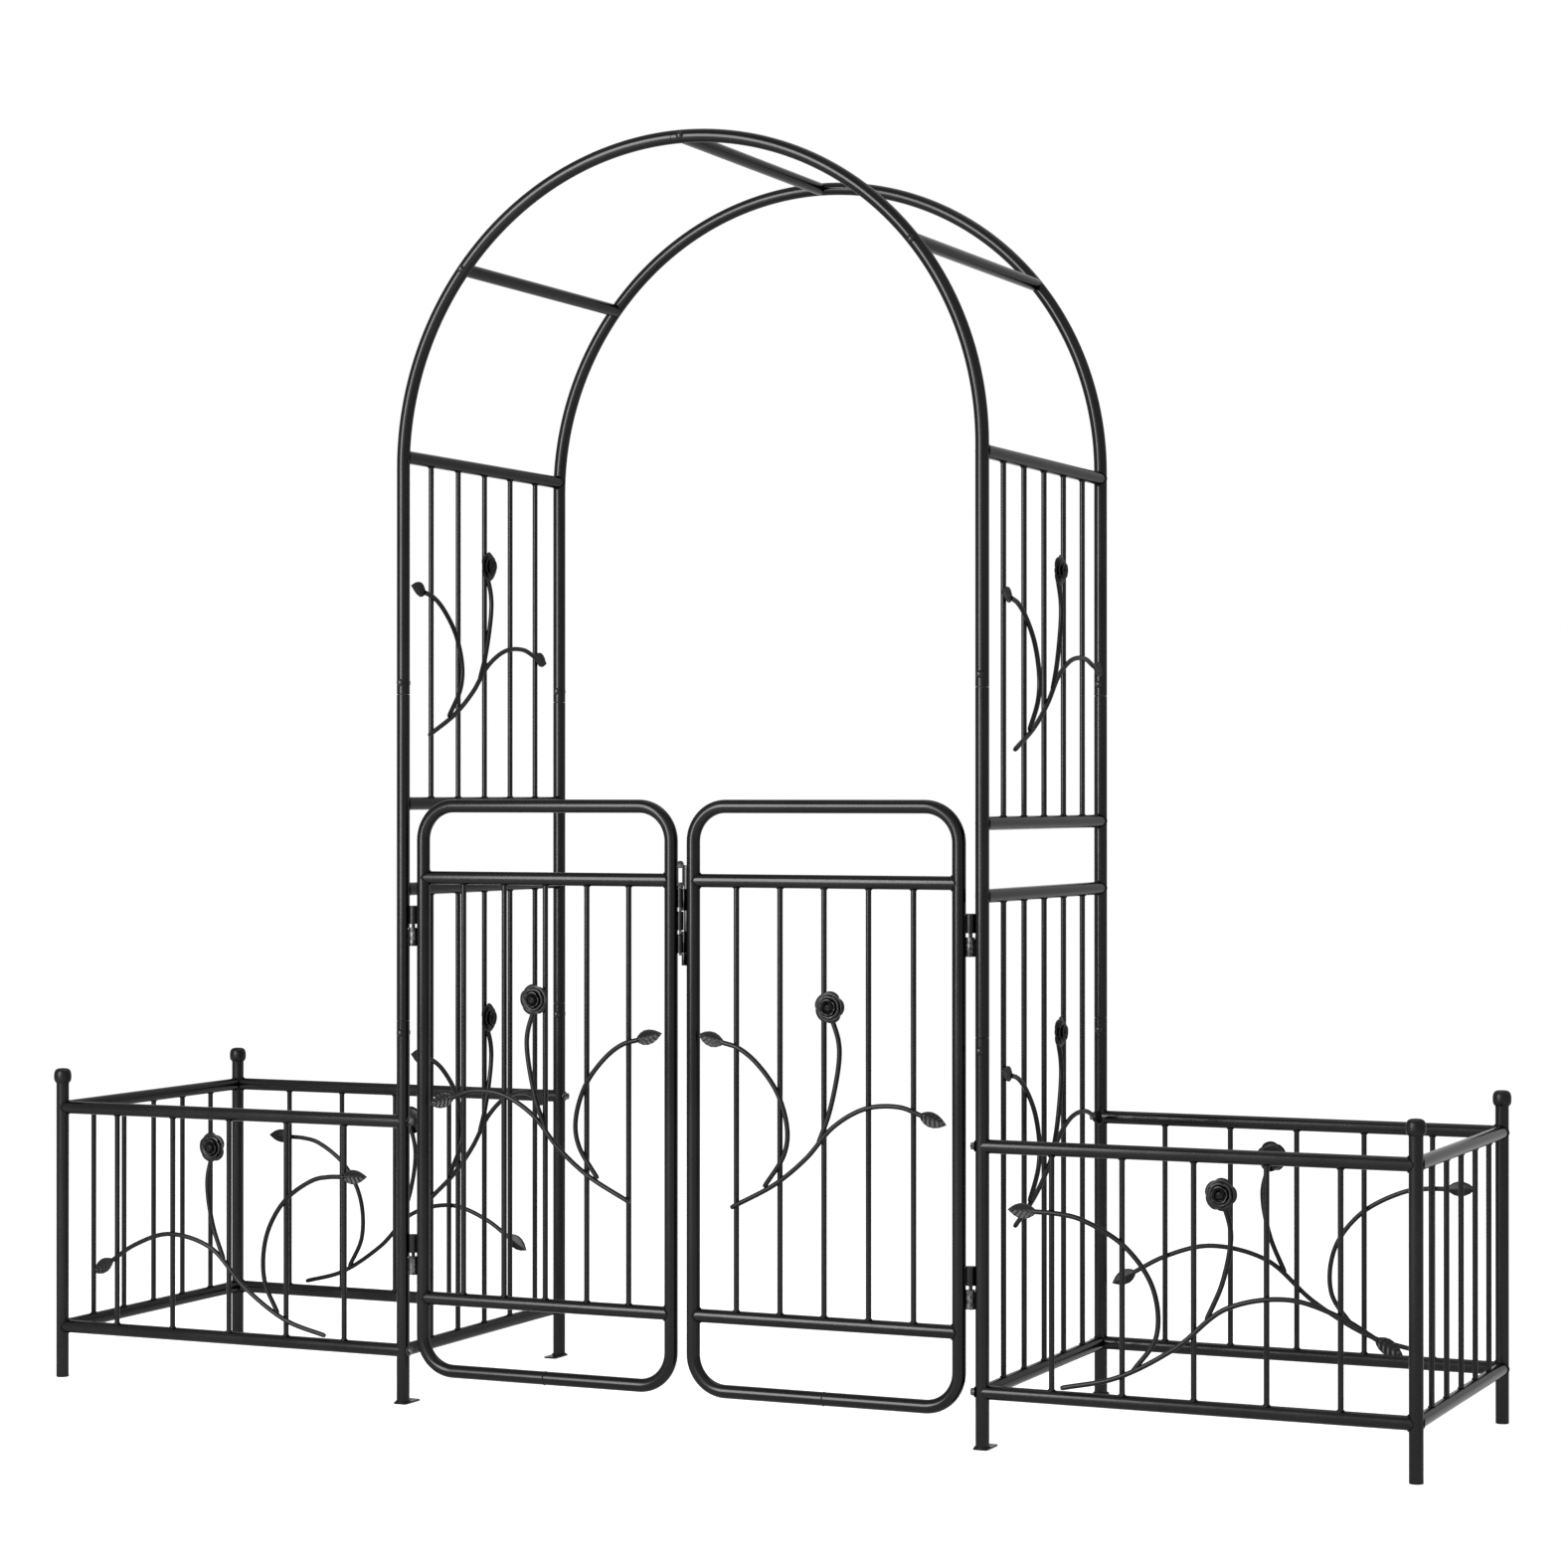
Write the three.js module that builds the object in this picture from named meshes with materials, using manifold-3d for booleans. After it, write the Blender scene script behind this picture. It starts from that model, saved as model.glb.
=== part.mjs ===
// Garden arch with a two-leaf gate and two open planter boxes, in painted round steel tube.
// Units are millimetres. X runs across the passage, Y from front to back, Z up.
// The origin lies on the ground, halfway across the arch and halfway through its depth.

import * as THREE from 'three';
import { mergeVertices } from 'three/addons/utils/BufferGeometryUtils.js';
import Module from 'manifold-3d';

const wasm = await Module();
wasm.setup();

// Arch sizes, measured between tube centres
const archSpan = 1040;
const archDepth = 563;
const springHeight = 1571;
const lowerJointHeight = 642;
const upperJointHeight = 1190;
const sideCrossTubeAngle = 39;
const topCrossTubeAngle = 90;

// Tube, rod and fit sizes
const tubeRadius = 11;
const tubeWall = 1;
const barRadius = 4.5;
const barsPerPanel = 5;
const seatGap = 0.3;
const copeGap = 0.45;
const cutOverrun = 4;
const meldDepth = 0.6;

// Spigots that join one tube to the next
const spigotLength = 40;
const spigotWall = 1;
const spigotClearance = 0.3;
const hoopSpigotLength = 32;

// Foot plates under the four arch posts
const plateWidth = 25;
const plateLength = 50;
const plateThickness = 3;
const pegHoleRadius = 4.5;
const pegHoleInset = 9;

// Heights of the rails between the arch posts
const sideMidRailHeight = 993;
const sideLowerTopRailHeight = 866;
const sideBottomRailHeight = 92;

// Planter boxes
const planterLength = 688;
const planterTopRailHeight = 473;
const planterBottomRailHeight = 89;
const cornerPostHeight = 516;
const endPlugLength = 26;

// Ball finial on each corner post
const finialRadius = 16.5;
const finialHeight = 26;
const finialPlugLength = 18;

// Points of a finial above its seat, as shares of its radius and height
const finialShares = [[0.76, 0], [1, 0.2], [0.82, 0.54], [0.48, 0.86], [0, 1]];

// Gate leaves
const gateHingeGap = 39;
const gateMeetingGap = 40;
const gateTopHeight = 1004;
const gateUpperRailHeight = 884;
const gateLowerRailHeight = 180;
const gateBottomHeight = 60;
const gateCornerRadius = 44;

// Barrel hinges
const hingeHeights = [802, 251];
const hingeBarrelRadius = 8;
const hingeBarrelLength = 30.5;
const hingeBarrelGap = 6.5;
const hingePinRadius = 3;
const hingeBore = 3.6;
const hingeRoof = 4;
const hingeWebWidth = 6;

// Drop-pin latch between the leaves
const latchPlateBottom = 745;
const latchPlateTop = 908;
const latchPlateWidth = 12;
const latchPlateThickness = 2;
const latchBarrelRadius = 6.5;
const latchBarrelLength = 32;
const latchBarrelGap = 4.7;
const latchLowestBarrel = 765;
const latchBore = 3.7;
const latchPinRadius = 3.2;
const latchPinTip = 4;
const latchLoopRodRadius = 2;
const latchLoopWidth = 13;
const latchLoopHeight = 46;

// Bolts with a flanged hexagon head, through the arch posts into the planter rails
const planterBoltRadius = 4;
const planterBoltHeadRadius = 6.5;
const planterBoltHeadHeight = 6;
const planterFlangeRadius = 9;
const planterFlangeHeight = 2;
const boltHoleClearance = 0.5;
const boltEngagement = 20;
const endPlugInset = 1;

// Scrollwork: round stems, ribbed leaves and petalled roses
const stemRadius = 4;
const leafLength = 48;
const leafHalfWidth = 12.5;
const leafThickness = 5;
const leafFold = 3;
const roseRadius = 24;
const roseDepth = 21;
const rosePetals = 5;
const petalWaveShare = 0.09;
const sideScrollWidth = 530;
const sideScrollHeight = 640;
const leftSideScrollStart = -8;
const rightSideScrollStart = 42;
const upperScrollDrop = 15;
const lowerScrollRise = 15;

// Facets of round forms
const tubeSides = 8;
const rodSides = 8;
const stemSides = 5;
const stemStepLength = 62;
const leafSides = 4;
const hexSides = 6;
const ringSteps = 3;
const stepsToSideTube = 4;
const cornerSteps = 2;

// Places that follow from the sizes above
const archRadius = archSpan / 2;
const postX = archSpan / 2;
const frontY = -archDepth / 2;
const backY = archDepth / 2;
const flatShare = Math.cos(Math.PI / tubeSides);
const barFlat = barRadius * Math.cos(Math.PI / hexSides);
const tubeFlat = tubeRadius * flatShare;
const sideTopRailHeight = springHeight - tubeRadius;
const spigotRadius = tubeRadius - tubeWall - spigotClearance;
const hingeX = postX - gateHingeGap / 2;
const hingeStileX = postX - gateHingeGap;
const meetingStileX = gateMeetingGap / 2;
const gateWidth = hingeStileX - meetingStileX;
const stemOffset = barFlat + seatGap + stemRadius;

// Colours and finish
const blackCoat = new THREE.MeshStandardMaterial({
  color: 0x1d1d1f, roughness: 0.42, metalness: 0.55, flatShading: true,
});
const castBlack = new THREE.MeshStandardMaterial({
  color: 0x161617, roughness: 0.55, metalness: 0.5, flatShading: true,
});
const darkSteel = new THREE.MeshStandardMaterial({
  color: 0x2a2a2c, roughness: 0.38, metalness: 0.8, flatShading: true,
});

// Shape helpers

// A regular polygon whose flats face along both axes
function polygon(radius, sides) {
  const points = [];
  for (let i = 0; i < sides; i += 1) {
    const angle = (2 * Math.PI * (i + 0.5)) / sides;
    points.push(new THREE.Vector2(radius * Math.cos(angle), radius * Math.sin(angle)));
  }
  return points;
}

function section(radius, sides, boreRadius = 0) {
  const shape = new THREE.Shape(polygon(radius, sides));
  if (boreRadius > 0) shape.holes.push(new THREE.Path(polygon(boreRadius, sides)));
  return shape;
}

// Keeps positions only, shares the vertices and drops triangles that have no area
function closed(geometry) {
  const bare = new THREE.BufferGeometry();
  bare.setAttribute('position', geometry.getAttribute('position').clone());
  if (geometry.index) bare.setIndex(geometry.index.clone());
  const merged = mergeVertices(bare);
  const index = merged.index.array;
  const kept = [];
  for (let i = 0; i < index.length; i += 3) {
    const [a, b, c] = [index[i], index[i + 1], index[i + 2]];
    if (a !== b && b !== c && c !== a) kept.push(a, b, c);
  }
  merged.setIndex(kept);
  return merged;
}

// A straight tube or rod that stands on the XY plane
function prism(radius, sides, length, boreRadius = 0) {
  const options = { depth: length, bevelEnabled: false, steps: 1 };
  return closed(new THREE.ExtrudeGeometry(section(radius, sides, boreRadius), options));
}

const tube = (length) => prism(tubeRadius, tubeSides, length, tubeRadius - tubeWall);

// A turned solid that stands on Z, from points of radius and height
function turned(profile, sides) {
  const points = profile.map(([radius, height]) => new THREE.Vector2(radius, height));
  const geometry = new THREE.LatheGeometry(points, sides, Math.PI / 2 + Math.PI / sides);
  return closed(geometry.rotateX(Math.PI / 2));
}

// A path through chosen stations, each with its own tangent
class StationPath extends THREE.Curve {
  constructor(stations) {
    super();
    this.stations = stations;
  }

  station(t) {
    return this.stations[Math.round(t * (this.stations.length - 1))];
  }

  getPoint(t, target = new THREE.Vector3()) {
    return target.copy(this.station(t).point);
  }

  getPointAt(t, target = new THREE.Vector3()) {
    return this.getPoint(t, target);
  }

  getTangentAt(t, target = new THREE.Vector3()) {
    return target.copy(this.station(t).tangent);
  }
}

function swept(stations, shape) {
  const path = new StationPath(stations);
  const options = { steps: stations.length - 1, extrudePath: path, bevelEnabled: false };
  return closed(new THREE.ExtrudeGeometry(shape, options));
}

// Stations of an arc in the XZ plane, from one angle to another in degrees
function arcStations(centreX, centreZ, radius, fromAngle, toAngle, steps) {
  const stations = [];
  const turn = Math.sign(toAngle - fromAngle);
  for (let i = 0; i <= steps; i += 1) {
    const angle = THREE.MathUtils.degToRad(fromAngle + ((toAngle - fromAngle) * i) / steps);
    const [c, s] = [Math.cos(angle), Math.sin(angle)];
    stations.push({
      point: new THREE.Vector3(centreX + radius * c, 0, centreZ + radius * s),
      tangent: new THREE.Vector3(-s * turn, 0, c * turn),
    });
  }
  return stations;
}

function solidOf(geometry) {
  const mesh = new wasm.Mesh({
    numProp: 3,
    vertProperties: new Float32Array(geometry.getAttribute('position').array),
    triVerts: new Uint32Array(geometry.index.array),
  });
  return new wasm.Manifold(mesh);
}

function geometryOf(solid) {
  const mesh = solid.getMesh();
  const geometry = new THREE.BufferGeometry();
  geometry.setAttribute('position', new THREE.BufferAttribute(mesh.vertProperties, mesh.numProp));
  geometry.setIndex(new THREE.BufferAttribute(mesh.triVerts, 1));
  return closed(geometry);
}

// Joins the first list of solids and cuts the second list out of them
function shaped(joined, cuts = []) {
  let solid = solidOf(joined[0]);
  for (const geometry of joined.slice(1)) solid = solid.add(solidOf(geometry));
  for (const geometry of cuts) solid = solid.subtract(solidOf(geometry));
  return geometryOf(solid);
}

// Turns a shape that stands on Z to lie along X
function alongX(geometry) {
  return geometry.rotateZ(Math.PI / 2).rotateY(Math.PI / 2);
}

// Depth of an upright tube's outline at a sideways offset, with a gap round it
function outlineDepth(offset, gap) {
  const reach = tubeFlat + gap;
  let depth = reach;
  for (let i = 1; i < tubeSides / 4; i += 1) {
    const angle = (2 * Math.PI * i) / tubeSides;
    depth = Math.min(depth, (reach - Math.abs(offset) * Math.sin(angle)) / Math.cos(angle));
  }
  return depth;
}

// A tube along Z between the centres of two tubes along Y, its ends shaped to their outlines
function copedTube(length, gap) {
  const geometry = tube(length);
  const position = geometry.getAttribute('position');
  for (let i = 0; i < position.count; i += 1) {
    const depth = outlineDepth(position.getX(i), gap);
    position.setZ(i, position.getZ(i) < length / 2 ? depth : length - depth);
  }
  return geometry;
}

function place(geometry, x, y, z) {
  return geometry.translate(x, y, z);
}

function addMesh(parent, name, geometry, material, x = 0, y = 0, z = 0) {
  const mesh = new THREE.Mesh(geometry, material);
  mesh.name = name;
  mesh.position.set(x, y, z);
  parent.add(mesh);
  return mesh;
}

function addGroup(parent, x = 0, y = 0, z = 0) {
  const group = new THREE.Group();
  group.position.set(x, y, z);
  parent.add(group);
  return group;
}

const root = new THREE.Group();
const sides = [{ side: 'left', sign: -1 }, { side: 'right', sign: 1 }];
const faces = [{ face: 'front', y: frontY, sign: -1 }, { face: 'back', y: backY, sign: 1 }];

// Arch posts

// A hole across the passage for a planter bolt, through both walls of a post
function planterBoltHole(height) {
  const hole = prism(planterBoltRadius + boltHoleClearance, hexSides, 2 * (tubeRadius + cutOverrun));
  hole.translate(0, 0, -tubeRadius - cutOverrun);
  return place(alongX(hole), 0, 0, height);
}

function lowerPost(inward) {
  const post = tube(lowerJointHeight - plateThickness + meldDepth);
  const plate = closed(new THREE.BoxGeometry(plateWidth, plateLength, plateThickness));
  const plateY = inward * (plateLength / 2 - plateWidth / 2);
  const pegY = inward * (plateLength - plateWidth / 2 - pegHoleInset);
  const peg = prism(pegHoleRadius, hexSides, plateThickness + 2 * cutOverrun);
  return shaped(
    [place(post, 0, 0, plateThickness - meldDepth), place(plate, 0, plateY, plateThickness / 2)],
    [
      place(peg, 0, pegY, -cutOverrun),
      planterBoltHole(planterTopRailHeight),
      planterBoltHole(planterBottomRailHeight),
    ],
  );
}

// The middle post has a reduced spigot at each end
function middlePost() {
  const length = upperJointHeight - lowerJointHeight - seatGap;
  const bore = tubeRadius - tubeWall;
  const spigotBore = spigotRadius - spigotWall;
  const profile = [
    [spigotBore, -spigotLength], [spigotRadius, -spigotLength], [spigotRadius, 0],
    [tubeRadius, 0], [tubeRadius, length], [spigotRadius, length],
    [spigotRadius, length + spigotLength], [spigotBore, length + spigotLength],
    [spigotBore, length - tubeWall], [bore, length - tubeWall - spigotWall],
    [bore, tubeWall + spigotWall], [spigotBore, tubeWall], [spigotBore, -spigotLength],
  ];
  return place(turned(profile, tubeSides), 0, 0, lowerJointHeight + seatGap);
}

// Half of a hoop: a leg above the middle post, then a quarter circle to just past the apex
const hoopSection = section(tubeRadius, tubeSides, tubeRadius - tubeWall);
const apexLap = THREE.MathUtils.radToDeg(hoopSpigotLength / 2 / archRadius);
const apexGap = THREE.MathUtils.radToDeg(seatGap / archRadius);
const hoopStep = sideCrossTubeAngle / (stepsToSideTube + 0.5);

// Stations of the half that stands at the sign's side, up to an angle above the spring line
function hoopStations(sign, endAngle) {
  const stations = [{
    point: new THREE.Vector3(sign * postX, 0, upperJointHeight + seatGap),
    tangent: new THREE.Vector3(0, 0, 1),
  }];
  const angles = [];
  for (let angle = 0; angle < endAngle - hoopStep / 2; angle += hoopStep) angles.push(angle);
  angles.push(endAngle);
  for (const angle of angles) {
    const radians = THREE.MathUtils.degToRad(angle);
    const [c, s] = [Math.cos(radians), Math.sin(radians)];
    stations.push({
      point: new THREE.Vector3(sign * archRadius * c, 0, springHeight + archRadius * s),
      tangent: new THREE.Vector3(-sign * s, 0, c),
    });
  }
  return stations;
}

const leftStations = hoopStations(-1, 90 - apexLap);
const rightStations = hoopStations(1, 90 + apexLap - apexGap);

// The point of a half hoop's straight facet at an angle above the spring line
function hoopSeat(stations, angle) {
  const radians = THREE.MathUtils.degToRad(angle);
  const sign = Math.sign(stations[0].point.x);
  const ray = new THREE.Vector3(sign * Math.cos(radians), 0, Math.sin(radians));
  for (let i = 2; i < stations.length; i += 1) {
    const [from, to] = [stations[i - 1].point, stations[i].point];
    const chord = new THREE.Vector3().subVectors(to, from).normalize();
    const normal = new THREE.Vector3(sign * chord.z, 0, -sign * chord.x);
    const distance = normal.x * from.x + normal.z * (from.z - springHeight);
    const point = ray.clone().multiplyScalar(distance / normal.dot(ray));
    point.z += springHeight;
    if (point.clone().sub(from).dot(chord) >= 0 && point.clone().sub(to).dot(chord) <= 0) {
      return { x: point.x, z: point.z, turn: -Math.atan2(normal.z, normal.x) };
    }
  }
  throw new Error('The cross tube misses the hoop');
}

const crossTubeSeats = [
  { name: 'cross_tube_left', ...hoopSeat(leftStations, sideCrossTubeAngle) },
  { name: 'cross_tube_top', ...hoopSeat(rightStations, topCrossTubeAngle) },
  { name: 'cross_tube_right', ...hoopSeat(rightStations, sideCrossTubeAngle) },
];

// The spigot on the left half's end follows the last chord of the right half
function hoopSpigot() {
  const spigotBore = spigotRadius - spigotWall;
  const collarRadius = tubeRadius - tubeWall / 2;
  const collar = 3 * tubeWall;
  const profile = [
    [spigotBore, -collar], [collarRadius, -collar], [collarRadius, -tubeWall],
    [spigotRadius, -tubeWall], [spigotRadius, hoopSpigotLength],
    [spigotBore, hoopSpigotLength], [spigotBore, -collar],
  ];
  const start = leftStations.at(-1).point;
  const along = new THREE.Vector3().subVectors(rightStations.at(-2).point, rightStations.at(-1).point);
  const turn = new THREE.Quaternion().setFromUnitVectors(new THREE.Vector3(0, 0, 1), along.normalize());
  return turned(profile, tubeSides).applyQuaternion(turn).translate(start.x, start.y, start.z);
}

function hoop(sign) {
  if (sign > 0) return swept(rightStations, hoopSection);
  return shaped([swept(leftStations, hoopSection), hoopSpigot()]);
}

for (const { side, sign } of sides) {
  for (const { face, y, sign: outward } of faces) {
    const x = sign * postX;
    addMesh(root, `lower_post_${face}_${side}`, lowerPost(-outward), blackCoat, x, y);
    addMesh(root, `middle_post_${face}_${side}`, middlePost(), blackCoat, x, y);
    addMesh(root, `arch_half_${face}_${side}`, hoop(sign), blackCoat, 0, y);
  }
}

// Cross tubes between the two hoops
for (const seat of crossTubeSeats) {
  const geometry = copedTube(archDepth, copeGap).rotateX(-Math.PI / 2);
  const mesh = addMesh(root, seat.name, geometry, blackCoat, seat.x, frontY, seat.z);
  mesh.rotation.y = seat.turn;
}

// Welded panels of upright bars between two rails

// Two coped rails and the bars welded between them, in a panel that starts at x = 0
function panel(length, bottom, top, gap) {
  const pieces = [bottom, top].map((height) => place(alongX(copedTube(length, gap)), 0, 0, height));
  const weld = tubeFlat - meldDepth;
  for (let i = 1; i <= barsPerPanel; i += 1) {
    const bar = prism(barRadius, hexSides, top - bottom - 2 * weld).rotateZ(Math.PI / 2);
    pieces.push(place(bar, (length * i) / (barsPerPanel + 1), 0, bottom + weld));
  }
  return shaped(pieces);
}

// Holes along both rails from one distance to another
function railHoles(radius, from, to, bottom, top) {
  return [bottom, top].map((height) => place(alongX(prism(radius, hexSides, to - from)), from, 0, height));
}

// Clears one half of a rail's end for the rail that meets the same post at a right angle
function crossingRail(x, height, inner) {
  const reach = tubeRadius + cutOverrun;
  const block = closed(new THREE.BoxGeometry(2 * (tubeFlat + seatGap), reach, 2 * reach));
  return place(block, x, (inner * reach) / 2, height);
}

// A planter's front or back panel: a threaded plug ends each rail at the arch post, and other
// rails meet it on its inner side
function planterPanel(length, bottom, top, inner) {
  const plugStart = tubeFlat + seatGap + endPlugInset;
  const plugs = [bottom, top].map((height) => {
    const plug = prism(tubeRadius - tubeWall + seatGap, tubeSides, endPlugLength);
    return place(alongX(plug), plugStart, 0, height);
  });
  const threadEnd = plugStart + endPlugLength + cutOverrun;
  const cuts = [
    ...railHoles(planterBoltRadius + boltHoleClearance, 0, threadEnd, bottom, top),
    crossingRail(0, bottom, inner), crossingRail(length, bottom, inner), crossingRail(length, top, inner),
  ];
  return shaped([panel(length, bottom, top, copeGap), ...plugs], cuts);
}

// Scrollwork

// Each point is a share of the panel's width and of the scroll's height
const gateScrollShares = {
  hook: [
    [0.12, 0.63], [0.18, 0.619], [0.246, 0.589], [0.33, 0.52], [0.369, 0.436], [0.359, 0.386],
    [0.285, 0.32],
  ],
  bloom: [[0.532, 0.7], [0.562, 0.641], [0.564, 0.595], [0.53, 0.486], [0.492, 0.424]],
  branch: [
    [0.87, 0.485], [0.79, 0.502], [0.664, 0.497], [0.543, 0.456], [0.44, 0.384], [0.324, 0.326],
    [0.154, 0.267],
  ],
  rose: [0.53, 0.719],
};
const planterScrollShares = {
  hook: [
    [0.13, 0.747], [0.186, 0.743], [0.24, 0.725], [0.345, 0.623], [0.41, 0.462], [0.417, 0.273],
    [0.361, 0.127],
  ],
  bloom: [[0.57, 0.83], [0.589, 0.7], [0.571, 0.51], [0.533, 0.352]],
  branch: [
    [0.918, 0.316], [0.837, 0.394], [0.72, 0.451], [0.578, 0.401], [0.462, 0.234], [0.325, 0.1],
    [0.193, 0.043],
  ],
  rose: [0.568, 0.852],
};

// A rose's outline from its back to its bud, as shares of its radius and depth, and the way
// that each ring of it waves from petal to petal
const roseShares = [[0, 0], [1, 0.5], [0.74, 0.42], [0.7, 0.84], [0.4, 0.6], [0.3, 1], [0, 0.84]];
const roseWaveShares = [0, 1, 1, -1, -1, 1, 0];

// A rose of cupped petals round a bud, facing -Y, its back at the origin
function rose() {
  const points = roseShares.map(([r, h]) => new THREE.Vector2(r * roseRadius, h * roseDepth));
  const geometry = new THREE.LatheGeometry(points, 2 * rosePetals);
  const position = geometry.getAttribute('position');
  for (let i = 0; i < position.count; i += 1) {
    const spoke = Math.floor(i / points.length);
    const wave = roseWaveShares[i % points.length] * (spoke % 2 === 0 ? 1 : -1);
    const grow = 1 + petalWaveShare * wave;
    position.setX(i, position.getX(i) * grow);
    position.setZ(i, position.getZ(i) * grow);
  }
  return closed(geometry.rotateX(Math.PI));
}

// Half widths along a leaf, as shares of its half width and length
const leafShares = [[0, 0], [0.55, 0.12], [1, 0.42], [0.7, 0.76], [0, 1]];

// A pointed leaf, folded along its midrib, that grows from the origin along a direction in XZ
function leaf(direction) {
  const points = leafShares.map(([r, l]) => new THREE.Vector2(r * leafHalfWidth, l * leafLength));
  const geometry = new THREE.LatheGeometry(points, leafSides, Math.PI / 2);
  geometry.scale(1, 1, leafThickness / (2 * leafHalfWidth));
  const position = geometry.getAttribute('position');
  for (let i = 0; i < position.count; i += 1) {
    const fold = (leafFold * Math.abs(position.getX(i))) / leafHalfWidth;
    position.setZ(i, position.getZ(i) + fold);
  }
  return closed(geometry.rotateX(Math.PI / 2).rotateY(Math.atan2(direction.x, direction.z)));
}

function stem(points) {
  const curve = new THREE.CatmullRomCurve3(points);
  const steps = Math.round(curve.getLength() / stemStepLength);
  const options = { steps, extrudePath: curve, bevelEnabled: false };
  return closed(new THREE.ExtrudeGeometry(section(stemRadius, stemSides), options));
}

// One scroll in the XZ plane: a hook with a leaf, a stem with a rose, and a branch with a leaf
function scroll(shares, width, height, sign = 1) {
  const at = ([u, v]) => new THREE.Vector3(sign * u * width, 0, v * height);
  const pieces = [stem(shares.bloom.map(at))];
  for (const points of [shares.hook.map(at), shares.branch.map(at)]) {
    const outward = new THREE.Vector3().subVectors(points[0], points[1]).normalize();
    const base = points[0].clone().addScaledVector(outward, -stemRadius);
    pieces.push(stem(points), place(leaf(outward), base.x, base.y, base.z));
  }
  const centre = at(shares.rose);
  pieces.push(place(rose(), centre.x, stemRadius, centre.z));
  return shaped(pieces);
}

// Side panels between the front and back posts
for (const { side, sign } of sides) {
  const start = sign > 0 ? rightSideScrollStart : leftSideScrollStart;
  const levels = [
    { level: 'upper', bottom: sideMidRailHeight, top: sideTopRailHeight, rise: -upperScrollDrop },
    { level: 'lower', bottom: sideBottomRailHeight, top: sideLowerTopRailHeight, rise: lowerScrollRise },
  ];
  for (const { level, bottom, top, rise } of levels) {
    const group = addGroup(root, sign * postX, frontY);
    group.rotation.z = Math.PI / 2;
    addMesh(group, `${side}_${level}_panel`, panel(archDepth, bottom, top, copeGap), blackCoat);
    const flower = scroll(gateScrollShares, sideScrollWidth, sideScrollHeight);
    const flowerZ = (bottom + top - sideScrollHeight) / 2 + rise;
    addMesh(group, `${side}_${level}_scroll`, flower, castBlack, start, -stemOffset, flowerZ);
  }
}

// Planter boxes outside the arch posts

const cornerX = postX + planterLength;

// A bolt from the passage through an arch post into a rail's plug, its head towards -X
function planterBolt() {
  const underside = -tubeFlat - seatGap;
  const flangeTop = underside - planterFlangeHeight;
  const end = tubeFlat + seatGap + boltEngagement;
  const profile = [
    [0, flangeTop], [planterFlangeRadius, flangeTop], [planterFlangeRadius, underside],
    [planterBoltRadius, underside], [planterBoltRadius, end], [0, end],
  ];
  const head = prism(planterBoltHeadRadius, hexSides, planterBoltHeadHeight + meldDepth);
  return alongX(shaped([turned(profile, hexSides), place(head, 0, 0, flangeTop - planterBoltHeadHeight)]));
}

// A ball finial whose plug fits inside a corner post
function finial() {
  const plugRadius = tubeRadius - tubeWall - seatGap;
  const outline = finialShares.map(([r, h]) => [r * finialRadius, h * finialHeight]);
  const plug = [[0, -finialPlugLength], [plugRadius, -finialPlugLength], [plugRadius, 0]];
  return turned([...plug, ...outline], rodSides);
}

for (const { side, sign } of sides) {
  const height = planterTopRailHeight - planterBottomRailHeight;
  for (const { face, y, sign: outward } of faces) {
    const group = addGroup(root, sign * postX, y);
    group.rotation.z = sign > 0 ? 0 : Math.PI;
    const inner = -sign * outward;
    const solid = planterPanel(planterLength, planterBottomRailHeight, planterTopRailHeight, inner);
    addMesh(group, `${side}_planter_${face}_panel`, solid, blackCoat);
    for (const [level, z] of [['bottom', planterBottomRailHeight], ['top', planterTopRailHeight]]) {
      addMesh(group, `${side}_planter_bolt_${face}_${level}`, planterBolt(), darkSteel, 0, 0, z);
    }
    const flower = scroll(planterScrollShares, planterLength, height, sign);
    const flowerGroup = addGroup(root, sign * (outward > 0 ? cornerX : postX), y);
    if (outward > 0) flowerGroup.rotation.z = Math.PI;
    const name = `${side}_planter_${face}_scroll`;
    addMesh(flowerGroup, name, flower, castBlack, 0, -stemOffset, planterBottomRailHeight);
    addMesh(root, `${side}_corner_post_${face}`, tube(cornerPostHeight), blackCoat, sign * cornerX, y);
    const finialZ = cornerPostHeight + seatGap;
    addMesh(root, `${side}_finial_${face}`, finial(), castBlack, sign * cornerX, y, finialZ);
  }
  const end = addGroup(root, sign * cornerX, frontY);
  end.rotation.z = Math.PI / 2;
  const endPanel = panel(archDepth, planterBottomRailHeight, planterTopRailHeight, copeGap);
  addMesh(end, `${side}_planter_end_panel`, endPanel, blackCoat);
}

// Gate leaves, each drawn as the right one with its hinge side towards +X

// The bent tube round a leaf, butted in the middle of its bottom
function leafFrame() {
  const middle = (meetingStileX + hingeStileX) / 2;
  const along = new THREE.Vector3(1, 0, 0);
  const bottom = (x) => ({ point: new THREE.Vector3(x, 0, gateBottomHeight), tangent: along });
  const right = hingeStileX - gateCornerRadius;
  const left = meetingStileX + gateCornerRadius;
  const low = gateBottomHeight + gateCornerRadius;
  const high = gateTopHeight - gateCornerRadius;
  const stations = [
    bottom(middle + seatGap / 2),
    ...arcStations(right, low, gateCornerRadius, -90, 0, cornerSteps),
    ...arcStations(right, high, gateCornerRadius, 0, 90, cornerSteps),
    ...arcStations(left, high, gateCornerRadius, 90, 180, cornerSteps),
    ...arcStations(left, low, gateCornerRadius, 180, 270, cornerSteps),
    bottom(middle - seatGap / 2),
  ];
  return swept(stations, hoopSection);
}

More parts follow.
